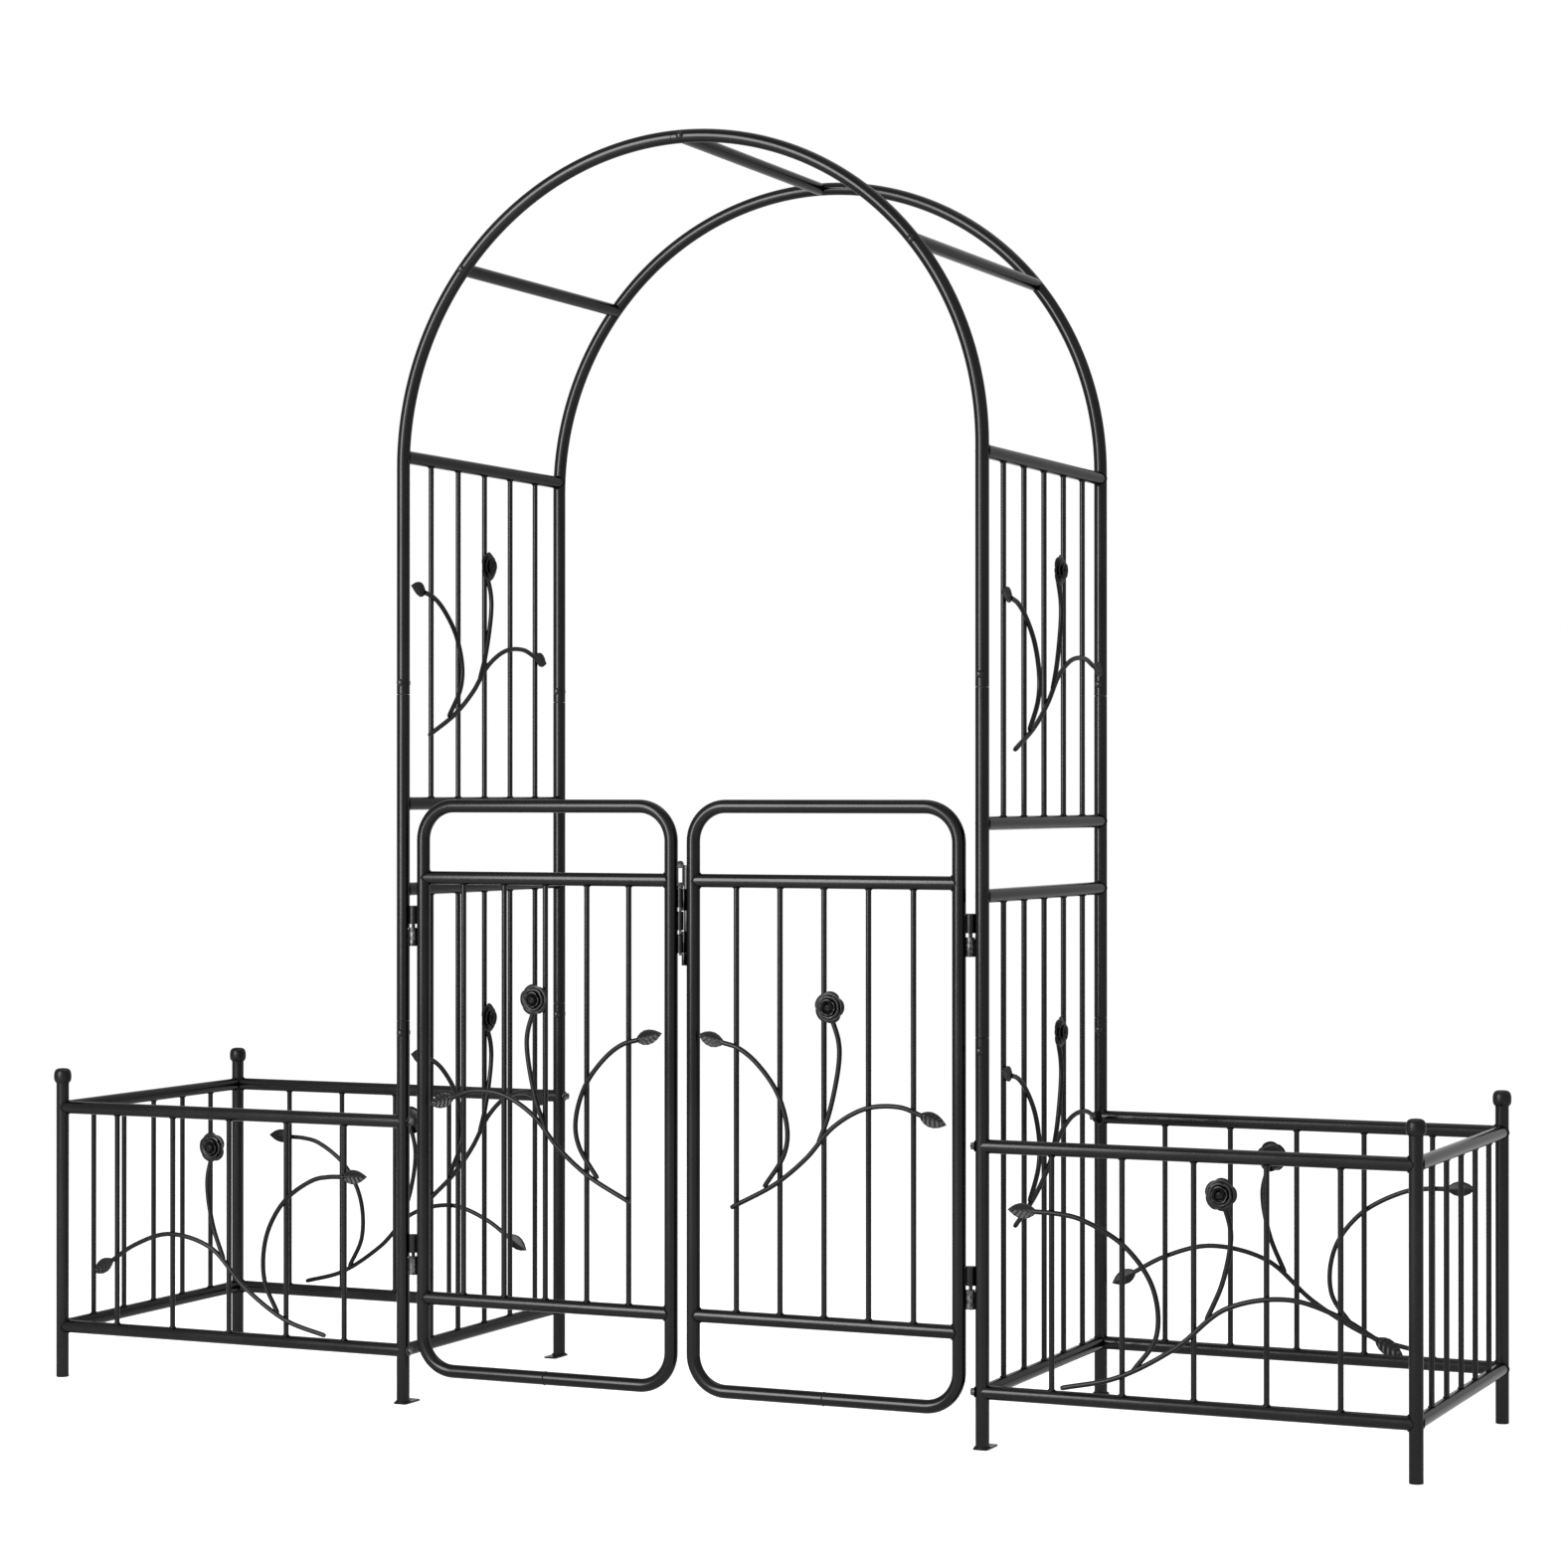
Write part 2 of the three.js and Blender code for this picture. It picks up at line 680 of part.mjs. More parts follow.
// A hinge barrel on the hinge line with the web that welds it to a tube on one side
function hingeBarrel(bottom, side, reach) {
  const barrel = place(prism(hingeBarrelRadius, rodSides, hingeBarrelLength), hingeX, 0, bottom);
  const web = closed(new THREE.BoxGeometry(reach, hingeWebWidth, hingeBarrelLength));
  return [barrel, place(web, hingeX + (side * reach) / 2, 0, bottom + hingeBarrelLength / 2)];
}

function leafPanel() {
  const [bottom, top] = [gateLowerRailHeight, gateUpperRailHeight];
  const infill = place(panel(gateWidth, bottom, top, -meldDepth), meetingStileX, 0, 0);
  const vents = railHoles(barRadius, meetingStileX, meetingStileX + tubeRadius + cutOverrun, bottom, top);
  const reach = hingeX - hingeStileX - tubeFlat + meldDepth;
  const barrels = hingeHeights.flatMap((z) => hingeBarrel(z + hingeBarrelGap / 2, -1, reach));
  const depth = hingeBarrelLength - hingeRoof + cutOverrun;
  const sockets = hingeHeights.map((z) => (
    place(prism(hingeBore, hexSides, depth), hingeX, 0, z + hingeBarrelGap / 2 - cutOverrun)
  ));
  return shaped([leafFrame(), infill, ...barrels], [...vents, ...sockets]);
}

// The post's half of a hinge: a barrel with the pin that carries the leaf
function hingePin() {
  const bottom = -hingeBarrelGap / 2 - hingeBarrelLength;
  const pinLength = hingeBarrelLength + hingeBarrelGap + hingeBarrelLength - hingeRoof - seatGap;
  const pin = place(prism(hingePinRadius, hexSides, pinLength), hingeX, 0, bottom);
  return shaped([...hingeBarrel(bottom, 1, postX - tubeFlat - seatGap - hingeX), pin]);
}

for (const { side, sign } of sides) {
  const leafGroup = addGroup(root, 0, frontY);
  leafGroup.rotation.z = sign > 0 ? 0 : Math.PI;
  addMesh(leafGroup, `${side}_gate_leaf`, leafPanel(), blackCoat);
  hingeHeights.forEach((z, i) => {
    addMesh(leafGroup, `${side}_hinge_${i === 0 ? 'upper' : 'lower'}`, hingePin(), darkSteel, 0, 0, z);
  });
  const height = gateUpperRailHeight - gateLowerRailHeight;
  const flower = scroll(gateScrollShares, gateWidth, height, sign);
  const x = sign * meetingStileX;
  addMesh(root, `${side}_gate_scroll`, flower, castBlack, x, frontY - stemOffset, gateLowerRailHeight);
}

// Drop-pin latch: two barrels on the right leaf, one on the left, and a pin with a pull loop

function latchBarrel(number, side, reach) {
  const bottom = latchLowestBarrel + number * (latchBarrelLength + latchBarrelGap);
  const barrel = place(prism(latchBarrelRadius, rodSides, latchBarrelLength), 0, 0, bottom);
  const web = closed(new THREE.BoxGeometry(reach, latchPlateThickness, latchBarrelLength));
  return [barrel, place(web, (side * reach) / 2, 0, bottom + latchBarrelLength / 2)];
}

const latch = addGroup(root, 0, frontY);
const stileFace = meetingStileX - tubeFlat - seatGap;
const latchCentre = (latchPlateBottom + latchPlateTop) / 2;
const latchHole = place(
  prism(latchBore, hexSides, latchPlateTop - latchPlateBottom), 0, 0, latchPlateBottom,
);
const latchPlate = place(
  closed(new THREE.BoxGeometry(latchPlateThickness, latchPlateWidth, latchPlateTop - latchPlateBottom)),
  stileFace - latchPlateThickness / 2, 0, latchCentre,
);
const plateReach = stileFace - latchPlateThickness / 2;
const plateSolid = shaped(
  [latchPlate, ...latchBarrel(0, 1, plateReach), ...latchBarrel(2, 1, plateReach)], [latchHole],
);
addMesh(latch, 'latch_plate', plateSolid, blackCoat);
addMesh(latch, 'latch_knuckle', shaped(latchBarrel(1, -1, stileFace), [latchHole]), blackCoat);

// The pull loop stands on the top barrel, a flat ring with round ends
function pullLoop(bottom) {
  const outer = latchLoopWidth / 2;
  const straight = latchLoopHeight - latchLoopWidth;
  const outline = (radius) => {
    const points = [];
    for (let i = 0; i <= ringSteps; i += 1) {
      const angle = (Math.PI * i) / ringSteps;
      points.push(new THREE.Vector2(radius * Math.cos(angle), straight + radius * Math.sin(angle)));
    }
    for (let i = 0; i <= ringSteps; i += 1) {
      const angle = Math.PI + (Math.PI * i) / ringSteps;
      points.push(new THREE.Vector2(radius * Math.cos(angle), radius * Math.sin(angle)));
    }
    return points;
  };
  const shape = new THREE.Shape(outline(outer));
  shape.holes.push(new THREE.Path(outline(outer - 2 * latchLoopRodRadius)));
  const depth = 2 * latchLoopRodRadius;
  const ring = closed(new THREE.ExtrudeGeometry(shape, { depth, bevelEnabled: false, steps: 1 }));
  return place(ring.rotateX(Math.PI / 2), 0, latchLoopRodRadius, bottom + outer);
}

const loopBottom = latchLowestBarrel + 3 * latchBarrelLength + 2 * latchBarrelGap + seatGap;
const pinBottom = latchLowestBarrel - latchPinTip;
const latchPin = place(
  prism(latchPinRadius, hexSides, loopBottom + latchLoopRodRadius - pinBottom), 0, 0, pinBottom,
);
addMesh(latch, 'latch_pin', shaped([latchPin, pullLoop(loopBottom)]), darkSteel);

export default root;
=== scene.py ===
# Garden arch with a two-leaf gate and two planter boxes, in black coated steel
# Lengths are in metres. X runs across the passage, Y from front to back, Z up

import math

import bmesh
import bpy
from mathutils import Matrix, Vector


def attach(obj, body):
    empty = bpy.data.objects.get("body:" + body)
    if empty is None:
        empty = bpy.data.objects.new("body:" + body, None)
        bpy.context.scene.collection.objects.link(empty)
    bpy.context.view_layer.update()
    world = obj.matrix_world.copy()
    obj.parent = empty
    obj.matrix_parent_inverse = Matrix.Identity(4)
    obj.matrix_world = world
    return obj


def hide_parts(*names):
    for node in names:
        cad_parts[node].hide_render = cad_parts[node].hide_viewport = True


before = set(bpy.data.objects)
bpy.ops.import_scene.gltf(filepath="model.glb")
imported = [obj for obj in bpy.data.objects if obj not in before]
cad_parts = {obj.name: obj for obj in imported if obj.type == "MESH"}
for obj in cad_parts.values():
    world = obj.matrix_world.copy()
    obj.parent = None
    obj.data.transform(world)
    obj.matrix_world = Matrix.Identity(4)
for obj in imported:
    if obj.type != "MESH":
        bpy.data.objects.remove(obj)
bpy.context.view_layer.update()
print("frame loaded with", len(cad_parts), "nodes")

tubing = {"radius": 0.011, "sides": 28, "seam": 0.0004, "chamfer": 0.0005}
barring = {"radius": 0.0045, "sides": 18, "perPanel": 5}
bead = {
    "railSize": 0.0017, "railSteps": 72, "barSize": 0.0013, "barSteps": 28, "ripple": 0.1, "sides": 6,
    "raised": 0.2, "taper": 0.4,
}
arch = {
    "halfSpan": 0.520, "halfDepth": 0.2815, "spring": 1.571, "rise": 0.5188, "hoopSteps": 56,
    "lowerJoint": 0.642, "upperJoint": 1.190, "apexSeamDegrees": 1.763,
}
sharpDegrees = 38
xAxis = Vector((1, 0, 0))
yAxis = Vector((0, 1, 0))
zAxis = Vector((0, 0, 1))
frontY = -arch["halfDepth"]
backY = arch["halfDepth"]
sides = (("left", -1), ("right", 1))
faces = (("front", frontY, -1), ("back", backY, 1))


# Points of a path with a normal that is carried along without twist
def framesAlong(path, loop=False):
    rows = []
    normal = None
    last = len(path) - 1
    for i, here in enumerate(path):
        before = path[i - 1] if i > 0 or loop else here
        after = path[(i + 1) % len(path)] if i < last or loop else here
        tangent = (after - before).normalized()
        if normal is None:
            normal = yAxis if abs(tangent.y) < 0.9 else xAxis
        normal = (normal - tangent * normal.dot(tangent)).normalized()
        rows.append((here, normal, tangent.cross(normal)))
    return rows


# The faces between rings of points that follow each other
def ringQuads(rings, count, loop):
    quads = []
    for i in range(rings if loop else rings - 1):
        low, high = i * count, (i + 1) % rings * count
        for k in range(count):
            m = (k + 1) % count
            quads.append((low + k, low + m, high + m, high + k))
    return quads


# A round rod or tube along a path, with one radius or a radius for each point
def sweep(path, radius, count, loop=False):
    radii = radius if isinstance(radius, list) else [radius] * len(path)
    verts = []
    for (here, normal, across), r in zip(framesAlong(path, loop), radii):
        for k in range(count):
            angle = 2 * math.pi * k / count
            verts.append(here + (normal * math.cos(angle) + across * math.sin(angle)) * r)
    quads = ringQuads(len(path), count, loop)
    if not loop:
        quads.append(tuple(reversed(range(count))))
        quads.append(tuple(range(len(verts) - count, len(verts))))
    return verts, quads


# A turned shape from points of radius and height, which closes where the radius is zero
def lathe(profile, count=32, turn=0.0):
    verts, polys, rings = [], [], []
    for r, z in profile:
        if r == 0:
            rings.append([len(verts)])
            verts.append(Vector((0, 0, z)))
            continue
        rings.append(list(range(len(verts), len(verts) + count)))
        for k in range(count):
            angle = turn + 2 * math.pi * k / count
            verts.append(Vector((r * math.cos(angle), r * math.sin(angle), z)))
    for low, high in zip(rings, rings[1:]):
        for k in range(count):
            m = (k + 1) % count
            if len(low) == 1:
                polys.append((low[0], high[m], high[k]))
            elif len(high) == 1:
                polys.append((low[k], low[m], high[0]))
            else:
                polys.append((low[k], low[m], high[m], high[k]))
    return verts, polys


def shapeOf(bm):
    bm.verts.index_update()
    shape = [v.co.copy() for v in bm.verts], [tuple(v.index for v in f.verts) for f in bm.faces]
    bm.free()
    return shape


def roundBox(size, centre, bevel):
    bm = bmesh.new()
    bmesh.ops.create_cube(bm, size=1, matrix=Matrix.Translation(centre) @ Matrix.Diagonal((*size, 1)))
    bmesh.ops.bevel(bm, geom=bm.edges[:], offset=bevel, segments=2, affect="EDGES", profile=0.5)
    return shapeOf(bm)


# Points of an arc in a plane, round a centre and from one angle on
def arcPoints(x, y, radius, start, degrees, steps):
    angles = [math.radians(start + degrees * k / steps) for k in range(steps + 1)]
    return [(x + radius * math.cos(angle), y + radius * math.sin(angle)) for angle in angles]


# The same shape somewhere else; a mirrored one keeps its faces outwards
def moved(shape, matrix):
    verts, polys = shape
    if matrix.determinant() < 0:
        polys = [tuple(reversed(p)) for p in polys]
    return [matrix @ v for v in verts], polys


def shift(x, y, z):
    return Matrix.Translation((x, y, z))


def turnZ(degrees):
    return Matrix.Rotation(math.radians(degrees), 4, "Z")


# A straight tube with a fine chamfer at both ends, so that butted tubes show their seam
def plainTube(start, end):
    radius, chamfer = tubing["radius"], tubing["chamfer"]
    along = (end - start).normalized()
    path = [start, start + along * chamfer, end - along * chamfer, end]
    return sweep(path, [radius - chamfer, radius, radius, radius - chamfer], tubing["sides"])


# A straight round piece between the centre lines of two tubes, shaped to both
def copedStrut(start, end, radius, count, axis):
    verts, quads = sweep([start, end], radius, count)
    along = (end - start).normalized()
    side = along.cross(axis).normalized()
    for k, vert in enumerate(verts):
        offset = (vert - start).dot(side)
        depth = math.sqrt(max(0, tubing["radius"] ** 2 - offset ** 2))
        verts[k] = vert + along * (depth if k < count else -depth)
    return verts, quads


# The radii of a weld bead, a little thicker and thinner by turns
def rippled(size, count):
    return [size * (1 + bead["ripple"] * (1 if k % 2 else -1)) for k in range(count)]


# A weld bead along the line where a round piece meets a tube
def saddleBead(centre, along, axis, radius, size, steps):
    side = along.cross(axis).normalized()
    raised = size * bead["raised"]
    path = []
    for k in range(steps):
        angle = 2 * math.pi * k / steps
        depth = math.sqrt(max(0, (tubing["radius"] + raised) ** 2 - (radius * math.sin(angle)) ** 2))
        around = (axis * math.cos(angle) + side * math.sin(angle)) * (radius + raised)
        path.append(centre + around + along * depth)
    return sweep(path, rippled(size, steps), bead["sides"], loop=True)


def railBead(centre, along):
    return saddleBead(centre, along, zAxis, tubing["radius"], bead["railSize"], bead["railSteps"])


# A straight fillet of weld between two points
def seamBead(start, end, size):
    steps = max(6, round((end - start).length / size))
    path = [start.lerp(end, k / steps) for k in range(steps + 1)]
    radii = rippled(size, steps + 1)
    radii[0] = radii[-1] = size * bead["taper"]
    return sweep(path, radii, bead["sides"])


# Two rails with upright bars between them, starting at the first post's centre line
def barredPanel(length, bottom, top, startWelds=True):
    radius, thin = tubing["radius"], barring["radius"]
    coat, weld = [], []
    for z in (bottom, top):
        start, end = Vector((0, 0, z)), Vector((length, 0, z))
        coat.append(copedStrut(start, end, radius, tubing["sides"], zAxis))
        if startWelds:
            weld.append(railBead(start, xAxis))
        weld.append(railBead(end, -xAxis))
    for x in panelBars(length):
        low, high = Vector((x, 0, bottom)), Vector((x, 0, top))
        coat.append(copedStrut(low, high, thin, barring["sides"], xAxis))
        for centre, along in ((low, zAxis), (high, -zAxis)):
            weld.append(saddleBead(centre, along, xAxis, thin, bead["barSize"], bead["barSteps"]))
    return {"blackCoat": coat, "weldCoat": weld}


# How far along a panel its bars stand, from a place past its first post
def panelBars(length, start=0.0):
    count = barring["perPanel"] + 1
    return [length * i / count - start for i in range(1, count)]


# Puts the shapes of one piece into one mesh, smooth where its faces turn by less than sharpDegrees
def makePiece(name, parts, place=None, body="root", nodes=()):
    mesh = bpy.data.meshes.new(name)
    verts, polys, marks = [], [], []
    for finish, shapes in parts.items():
        mesh.materials.append(finishes[finish])
        for shape in shapes:
            points, corners = moved(shape, place) if place else shape
            first = len(verts)
            verts.extend(points)
            polys.extend(tuple(first + c for c in corner) for corner in corners)
            marks.extend([len(mesh.materials) - 1] * len(corners))
    mesh.from_pydata(verts, [], polys)
    mesh.polygons.foreach_set("material_index", marks)
    bm = bmesh.new()
    bm.from_mesh(mesh)
    for face in bm.faces:
        face.smooth = True
    for edge in bm.edges:
        if len(edge.link_faces) == 2:
            edge.smooth = edge.calc_face_angle() < math.radians(sharpDegrees)
    bm.to_mesh(mesh)
    bm.free()
    piece = bpy.data.objects.new(name, mesh)
    bpy.context.scene.collection.objects.link(piece)
    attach(piece, body)
    if nodes:
        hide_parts(*nodes)


# The piece that is seen in place of one CAD node
def dressNode(node, parts, place=None, body="root"):
    makePiece(node + "_fine", parts, place, body, [node])


# Materials

def newGroup(name, inputs, outputs):
    group = bpy.data.node_groups.new(name, "ShaderNodeTree")
    for label, value in inputs:
        socket = group.interface.new_socket(label, in_out="INPUT", socket_type="NodeSocketFloat")
        socket.default_value = value
    for label in outputs:
        group.interface.new_socket(label, in_out="OUTPUT", socket_type="NodeSocketFloat")
    return group, group.nodes.new("NodeGroupInput"), group.nodes.new("NodeGroupOutput")


def addNode(tree, kind, **values):
    node = tree.nodes.new(kind)
    for key, value in values.items():
        setattr(node, key, value)
    return node


def mathNode(tree, operation, first, second):
    node = addNode(tree, "ShaderNodeMath", operation=operation)
    for socket, value in zip(node.inputs, (first, second)):
        if isinstance(value, (int, float)):
            socket.default_value = value
        else:
            tree.links.new(value, socket)
    return node.outputs["Value"]


def rangeNode(tree, value, low, high):
    node = addNode(tree, "ShaderNodeMapRange", interpolation_type="SMOOTHSTEP")
    node.inputs["From Min"].default_value = low
    node.inputs["From Max"].default_value = high
    tree.links.new(value, node.inputs["Value"])
    return node.outputs["Result"]


def noiseNode(tree, place, scale, detail):
    node = addNode(tree, "ShaderNodeTexNoise")
    node.inputs["Detail"].default_value = detail
    tree.links.new(place, node.inputs["Vector"])
    tree.links.new(scale, node.inputs["Scale"])
    return node.outputs["Fac"]


# The orange peel of sprayed powder, and the slow drift of its tone from place to place
def makeCoatGrain():
    inputs = [("Peel Scale", 420), ("Drift Scale", 9)]
    group, inlet, outlet = newGroup("coatGrain", inputs, ["Height", "Drift"])
    place = addNode(group, "ShaderNodeTexCoord").outputs["Object"]
    peel = noiseNode(group, place, inlet.outputs["Peel Scale"], 3)
    drift = noiseNode(group, place, inlet.outputs["Drift Scale"], 4)
    group.links.new(peel, outlet.inputs["Height"])
    group.links.new(rangeNode(group, drift, 0.3, 0.7), outlet.inputs["Drift"])
    return group


# Where the coat is thin over an outer edge, broken up by fine scratches
def makeEdgeWear():
    group, inlet, outlet = newGroup("edgeWear", [("Amount", 0.5), ("Scale", 160)], ["Mask"])
    place = addNode(group, "ShaderNodeTexCoord").outputs["Object"]
    edge = rangeNode(group, addNode(group, "ShaderNodeNewGeometry").outputs["Pointiness"], 0.52, 0.6)
    spots = rangeNode(group, noiseNode(group, place, inlet.outputs["Scale"], 5), 0.38, 0.62)
    mask = mathNode(group, "MULTIPLY", mathNode(group, "MULTIPLY", edge, spots), inlet.outputs["Amount"])
    group.links.new(mask, outlet.inputs["Mask"])
    return group


# Fine dust on what faces up
def makeSettledDust():
    group, inlet, outlet = newGroup("settledDust", [("Amount", 0.3), ("Scale", 60)], ["Mask"])
    coordinate = addNode(group, "ShaderNodeTexCoord")
    split = addNode(group, "ShaderNodeSeparateXYZ")
    group.links.new(coordinate.outputs["Normal"], split.inputs["Vector"])
    upward = rangeNode(group, split.outputs["Z"], 0.35, 1.0)
    patch = noiseNode(group, coordinate.outputs["Object"], inlet.outputs["Scale"], 6)
    patch = rangeNode(group, patch, 0.3, 0.75)
    mask = mathNode(group, "MULTIPLY", mathNode(group, "MULTIPLY", upward, patch), inlet.outputs["Amount"])
    group.links.new(mask, outlet.inputs["Mask"])
    return group


grain, wear, dust = makeCoatGrain(), makeEdgeWear(), makeSettledDust()


def placeGroup(tree, group, **values):
    node = addNode(tree, "ShaderNodeGroup", node_tree=group)
    for label, value in values.items():
        node.inputs[label.replace("_", " ")].default_value = value
    return node


def mixColour(tree, mask, first, second):
    node = addNode(tree, "ShaderNodeMix", data_type="RGBA")
    tree.links.new(mask, node.inputs[0])
    for socket, value in zip((node.inputs[6], node.inputs[7]), (first, second)):
        if isinstance(value, tuple):
            socket.default_value = (*value, 1)
        else:
            tree.links.new(value, socket)
    return node.outputs[2]


coatSurface = {
    "metallic": 0.95, "edge": 0.65, "driftScale": 9, "wearScale": 160, "dustScale": 60,
    "dustColour": (0.32, 0.31, 0.29),
}
coats = {
    "blackCoat": {
        "dark": (0.0155, 0.0155, 0.0160), "light": (0.0185, 0.0185, 0.0190), "bare": (0.05, 0.05, 0.05),
        "rough": 0.19, "roughDrift": 0.03,
        "peel": 260, "peelDepth": 0.00010, "peelStrength": 0.02, "wear": 0.05, "dust": 0.008,
    },
    "weldCoat": {
        "dark": (0.011, 0.011, 0.0115), "light": (0.015, 0.015, 0.0155), "bare": (0.04, 0.04, 0.04),
        "rough": 0.36, "roughDrift": 0.1,
        "peel": 700, "peelDepth": 0.0002, "peelStrength": 0.3, "wear": 0.2, "dust": 0.01,
    },
    "castBlack": {
        "dark": (0.013, 0.013, 0.0135), "light": (0.019, 0.019, 0.0195), "bare": (0.06, 0.06, 0.06),
        "rough": 0.30, "roughDrift": 0.08,
        "peel": 900, "peelDepth": 0.0002, "peelStrength": 0.15, "wear": 0.25, "dust": 0.015,
    },
    "darkSteel": {
        "dark": (0.020, 0.020, 0.021), "light": (0.030, 0.030, 0.031), "bare": (0.2, 0.2, 0.2),
        "rough": 0.26, "roughDrift": 0.08,
        "peel": 1400, "peelDepth": 0.00008, "peelStrength": 0.2, "wear": 0.6, "dust": 0.01,
    },
}


def makeCoat(name, coat):
    material = bpy.data.materials.new(name)
    material.use_nodes = True
    tree = material.node_tree
    shader = tree.nodes["Principled BSDF"]
    edge = coatSurface["edge"]
    shader.inputs["Metallic"].default_value = coatSurface["metallic"]
    shader.inputs["Specular Tint"].default_value = (edge, edge, edge, 1)
    skin = placeGroup(tree, grain, Peel_Scale=coat["peel"], Drift_Scale=coatSurface["driftScale"])
    rubbed = placeGroup(tree, wear, Amount=coat["wear"], Scale=coatSurface["wearScale"])
    settled = placeGroup(tree, dust, Amount=coat["dust"], Scale=coatSurface["dustScale"])
    colour = mixColour(tree, skin.outputs["Drift"], coat["dark"], coat["light"])
    colour = mixColour(tree, rubbed.outputs["Mask"], colour, coat["bare"])
    colour = mixColour(tree, settled.outputs["Mask"], colour, coatSurface["dustColour"])
    tree.links.new(colour, shader.inputs["Base Color"])
    rough = mathNode(tree, "MULTIPLY", skin.outputs["Drift"], coat["roughDrift"])
    tree.links.new(mathNode(tree, "ADD", rough, coat["rough"]), shader.inputs["Roughness"])
    bump = addNode(tree, "ShaderNodeBump")
    bump.inputs["Strength"].default_value = coat["peelStrength"]
    bump.inputs["Distance"].default_value = coat["peelDepth"]
    tree.links.new(skin.outputs["Height"], bump.inputs["Height"])
    tree.links.new(bump.outputs["Normal"], shader.inputs["Normal"])
    return material


finishes = {name: makeCoat(name, coat) for name, coat in coats.items()}
print("materials made:", ", ".join(finishes))

# Posts with their foot plates, middle posts and arch halves

foot = {
    "width": 0.025, "length": 0.050, "thickness": 0.003, "corner": 0.004, "cornerSteps": 8, "edge": 0.0006,
    "hole": 0.0045, "holeInset": 0.009, "postStart": 0.0025,
    "weld": 0.0018, "weldOut": 0.0004, "weldUp": 0.0002,
}


# The plate's outline, seen from above, with its post at the origin and its peg hole towards +Y
def footOutline(inset):
    half = foot["width"] / 2
    radius = foot["corner"] - inset
    near, far = -half + foot["corner"], foot["length"] - half - foot["corner"]
    corners = ((half - foot["corner"], near, -90), (half - foot["corner"], far, 0),
               (foot["corner"] - half, far, 90), (foot["corner"] - half, near, 180))
    points = []
    for x, y, start in corners:
        points.extend(arcPoints(x, y, radius, start, 90, foot["cornerSteps"]))
    return points


def footPlate():
    middle = foot["length"] - foot["width"] / 2 - foot["holeInset"]
    edge, top = foot["edge"], foot["thickness"]
    rings = []
    for inset, z in ((edge, 0), (0, edge), (0, top - edge), (edge, top)):
        rings.append([Vector((x, y, z)) for x, y in footOutline(inset)])
    for grow, z in ((edge, top), (0, top - edge), (0, edge), (edge, 0)):
        ring = []
        for x, y in footOutline(0):
            angle = math.atan2(y - middle, x)
            reach = foot["hole"] + grow
            ring.append(Vector((reach * math.cos(angle), middle + reach * math.sin(angle), z)))
        rings.append(ring)
    return [v for ring in rings for v in ring], ringQuads(len(rings), len(rings[0]), True)


# A level ring of weld round a tube
def ringBead(radius, z, size, count=56):
    path = []
    for k in range(count):
        angle = 2 * math.pi * k / count
        path.append(Vector((radius * math.cos(angle), radius * math.sin(angle), z)))
    return sweep(path, rippled(size, count), bead["sides"], loop=True)


# The hoops' centre line, by its angle from where the right leg starts to bend
def hoopPoint(degrees, y=0.0):
    angle = math.radians(degrees)
    return Vector((arch["halfSpan"] * math.cos(angle), y, arch["spring"] + arch["rise"] * math.sin(angle)))


# One half of a hoop from its leg's joint to the seam near the top, which is left of the middle
def hoopPath(sign):
    seamDegrees = 90 + sign * arch["apexSeamDegrees"]
    path = [Vector((sign * arch["halfSpan"], 0, arch["upperJoint"] + tubing["seam"]))]
    for k in range(arch["hoopSteps"] + 1):
        point = hoopPoint(seamDegrees * k / arch["hoopSteps"])
        path.append(Vector((sign * point.x, 0, point.z)))
    return path


# The ends of a swept tube take a fine chamfer too
def sweptTube(path):
    radius, chamfer = tubing["radius"], tubing["chamfer"]
    start, end = path[0], path[-1]
    second = start + (path[1] - start).normalized() * chamfer
    lastButOne = end + (path[-2] - end).normalized() * chamfer
    radii = [radius - chamfer] + [radius] * len(path) + [radius - chamfer]
    return sweep([start, second, *path[1:-1], lastButOne, end], radii, tubing["sides"])


for side, sign in sides:
    for face, y, outward in faces:
        place = shift(sign * arch["halfSpan"], y, 0)
        post = plainTube(Vector((0, 0, foot["postStart"])), Vector((0, 0, arch["lowerJoint"])))
        plate = moved(footPlate(), turnZ(0 if outward < 0 else 180))
        weldX, weldZ = tubing["radius"] + foot["weldOut"], foot["thickness"] + foot["weldUp"]
        parts = {"blackCoat": [post, plate], "weldCoat": [ringBead(weldX, weldZ, foot["weld"])]}
        dressNode(f"lower_post_{face}_{side}", parts, place=place)
        low = arch["lowerJoint"] + tubing["seam"]
        post = plainTube(Vector((0, 0, low)), Vector((0, 0, arch["upperJoint"])))
        dressNode(f"middle_post_{face}_{side}", {"blackCoat": [post]}, place=place)
        half = sweptTube(hoopPath(sign))
        dressNode(f"arch_half_{face}_{side}", {"blackCoat": [half]}, place=shift(0, y, 0))
print("posts and hoops made")

# Cross tubes between the hoops

crossTubes = {"left": 141, "top": 90, "right": 39}
for label, degrees in crossTubes.items():
    angle = math.radians(degrees)
    tangent = Vector((-math.sin(angle), 0, math.cos(angle)))
    start, end = hoopPoint(degrees, frontY), hoopPoint(degrees, backY)
    tube = copedStrut(start, end, tubing["radius"], tubing["sides"], tangent)
    dressNode("cross_tube_" + label, {"blackCoat": [tube]})

# Small bolts that hold the post joints, each with a domed head and a nut, and the domed heads of the bolts
# that hold the cross tubes

smallBolt = {
    "head": 0.006, "dome": 0.0040, "rim": 0.0008, "domeSteps": 8, "sunk": 0.0002, "jointDrop": 0.020,
    "nut": 0.0058, "nutHeight": 0.0050, "stub": 0.003, "stubSide": 0.0008, "stubTop": 0.001,
}


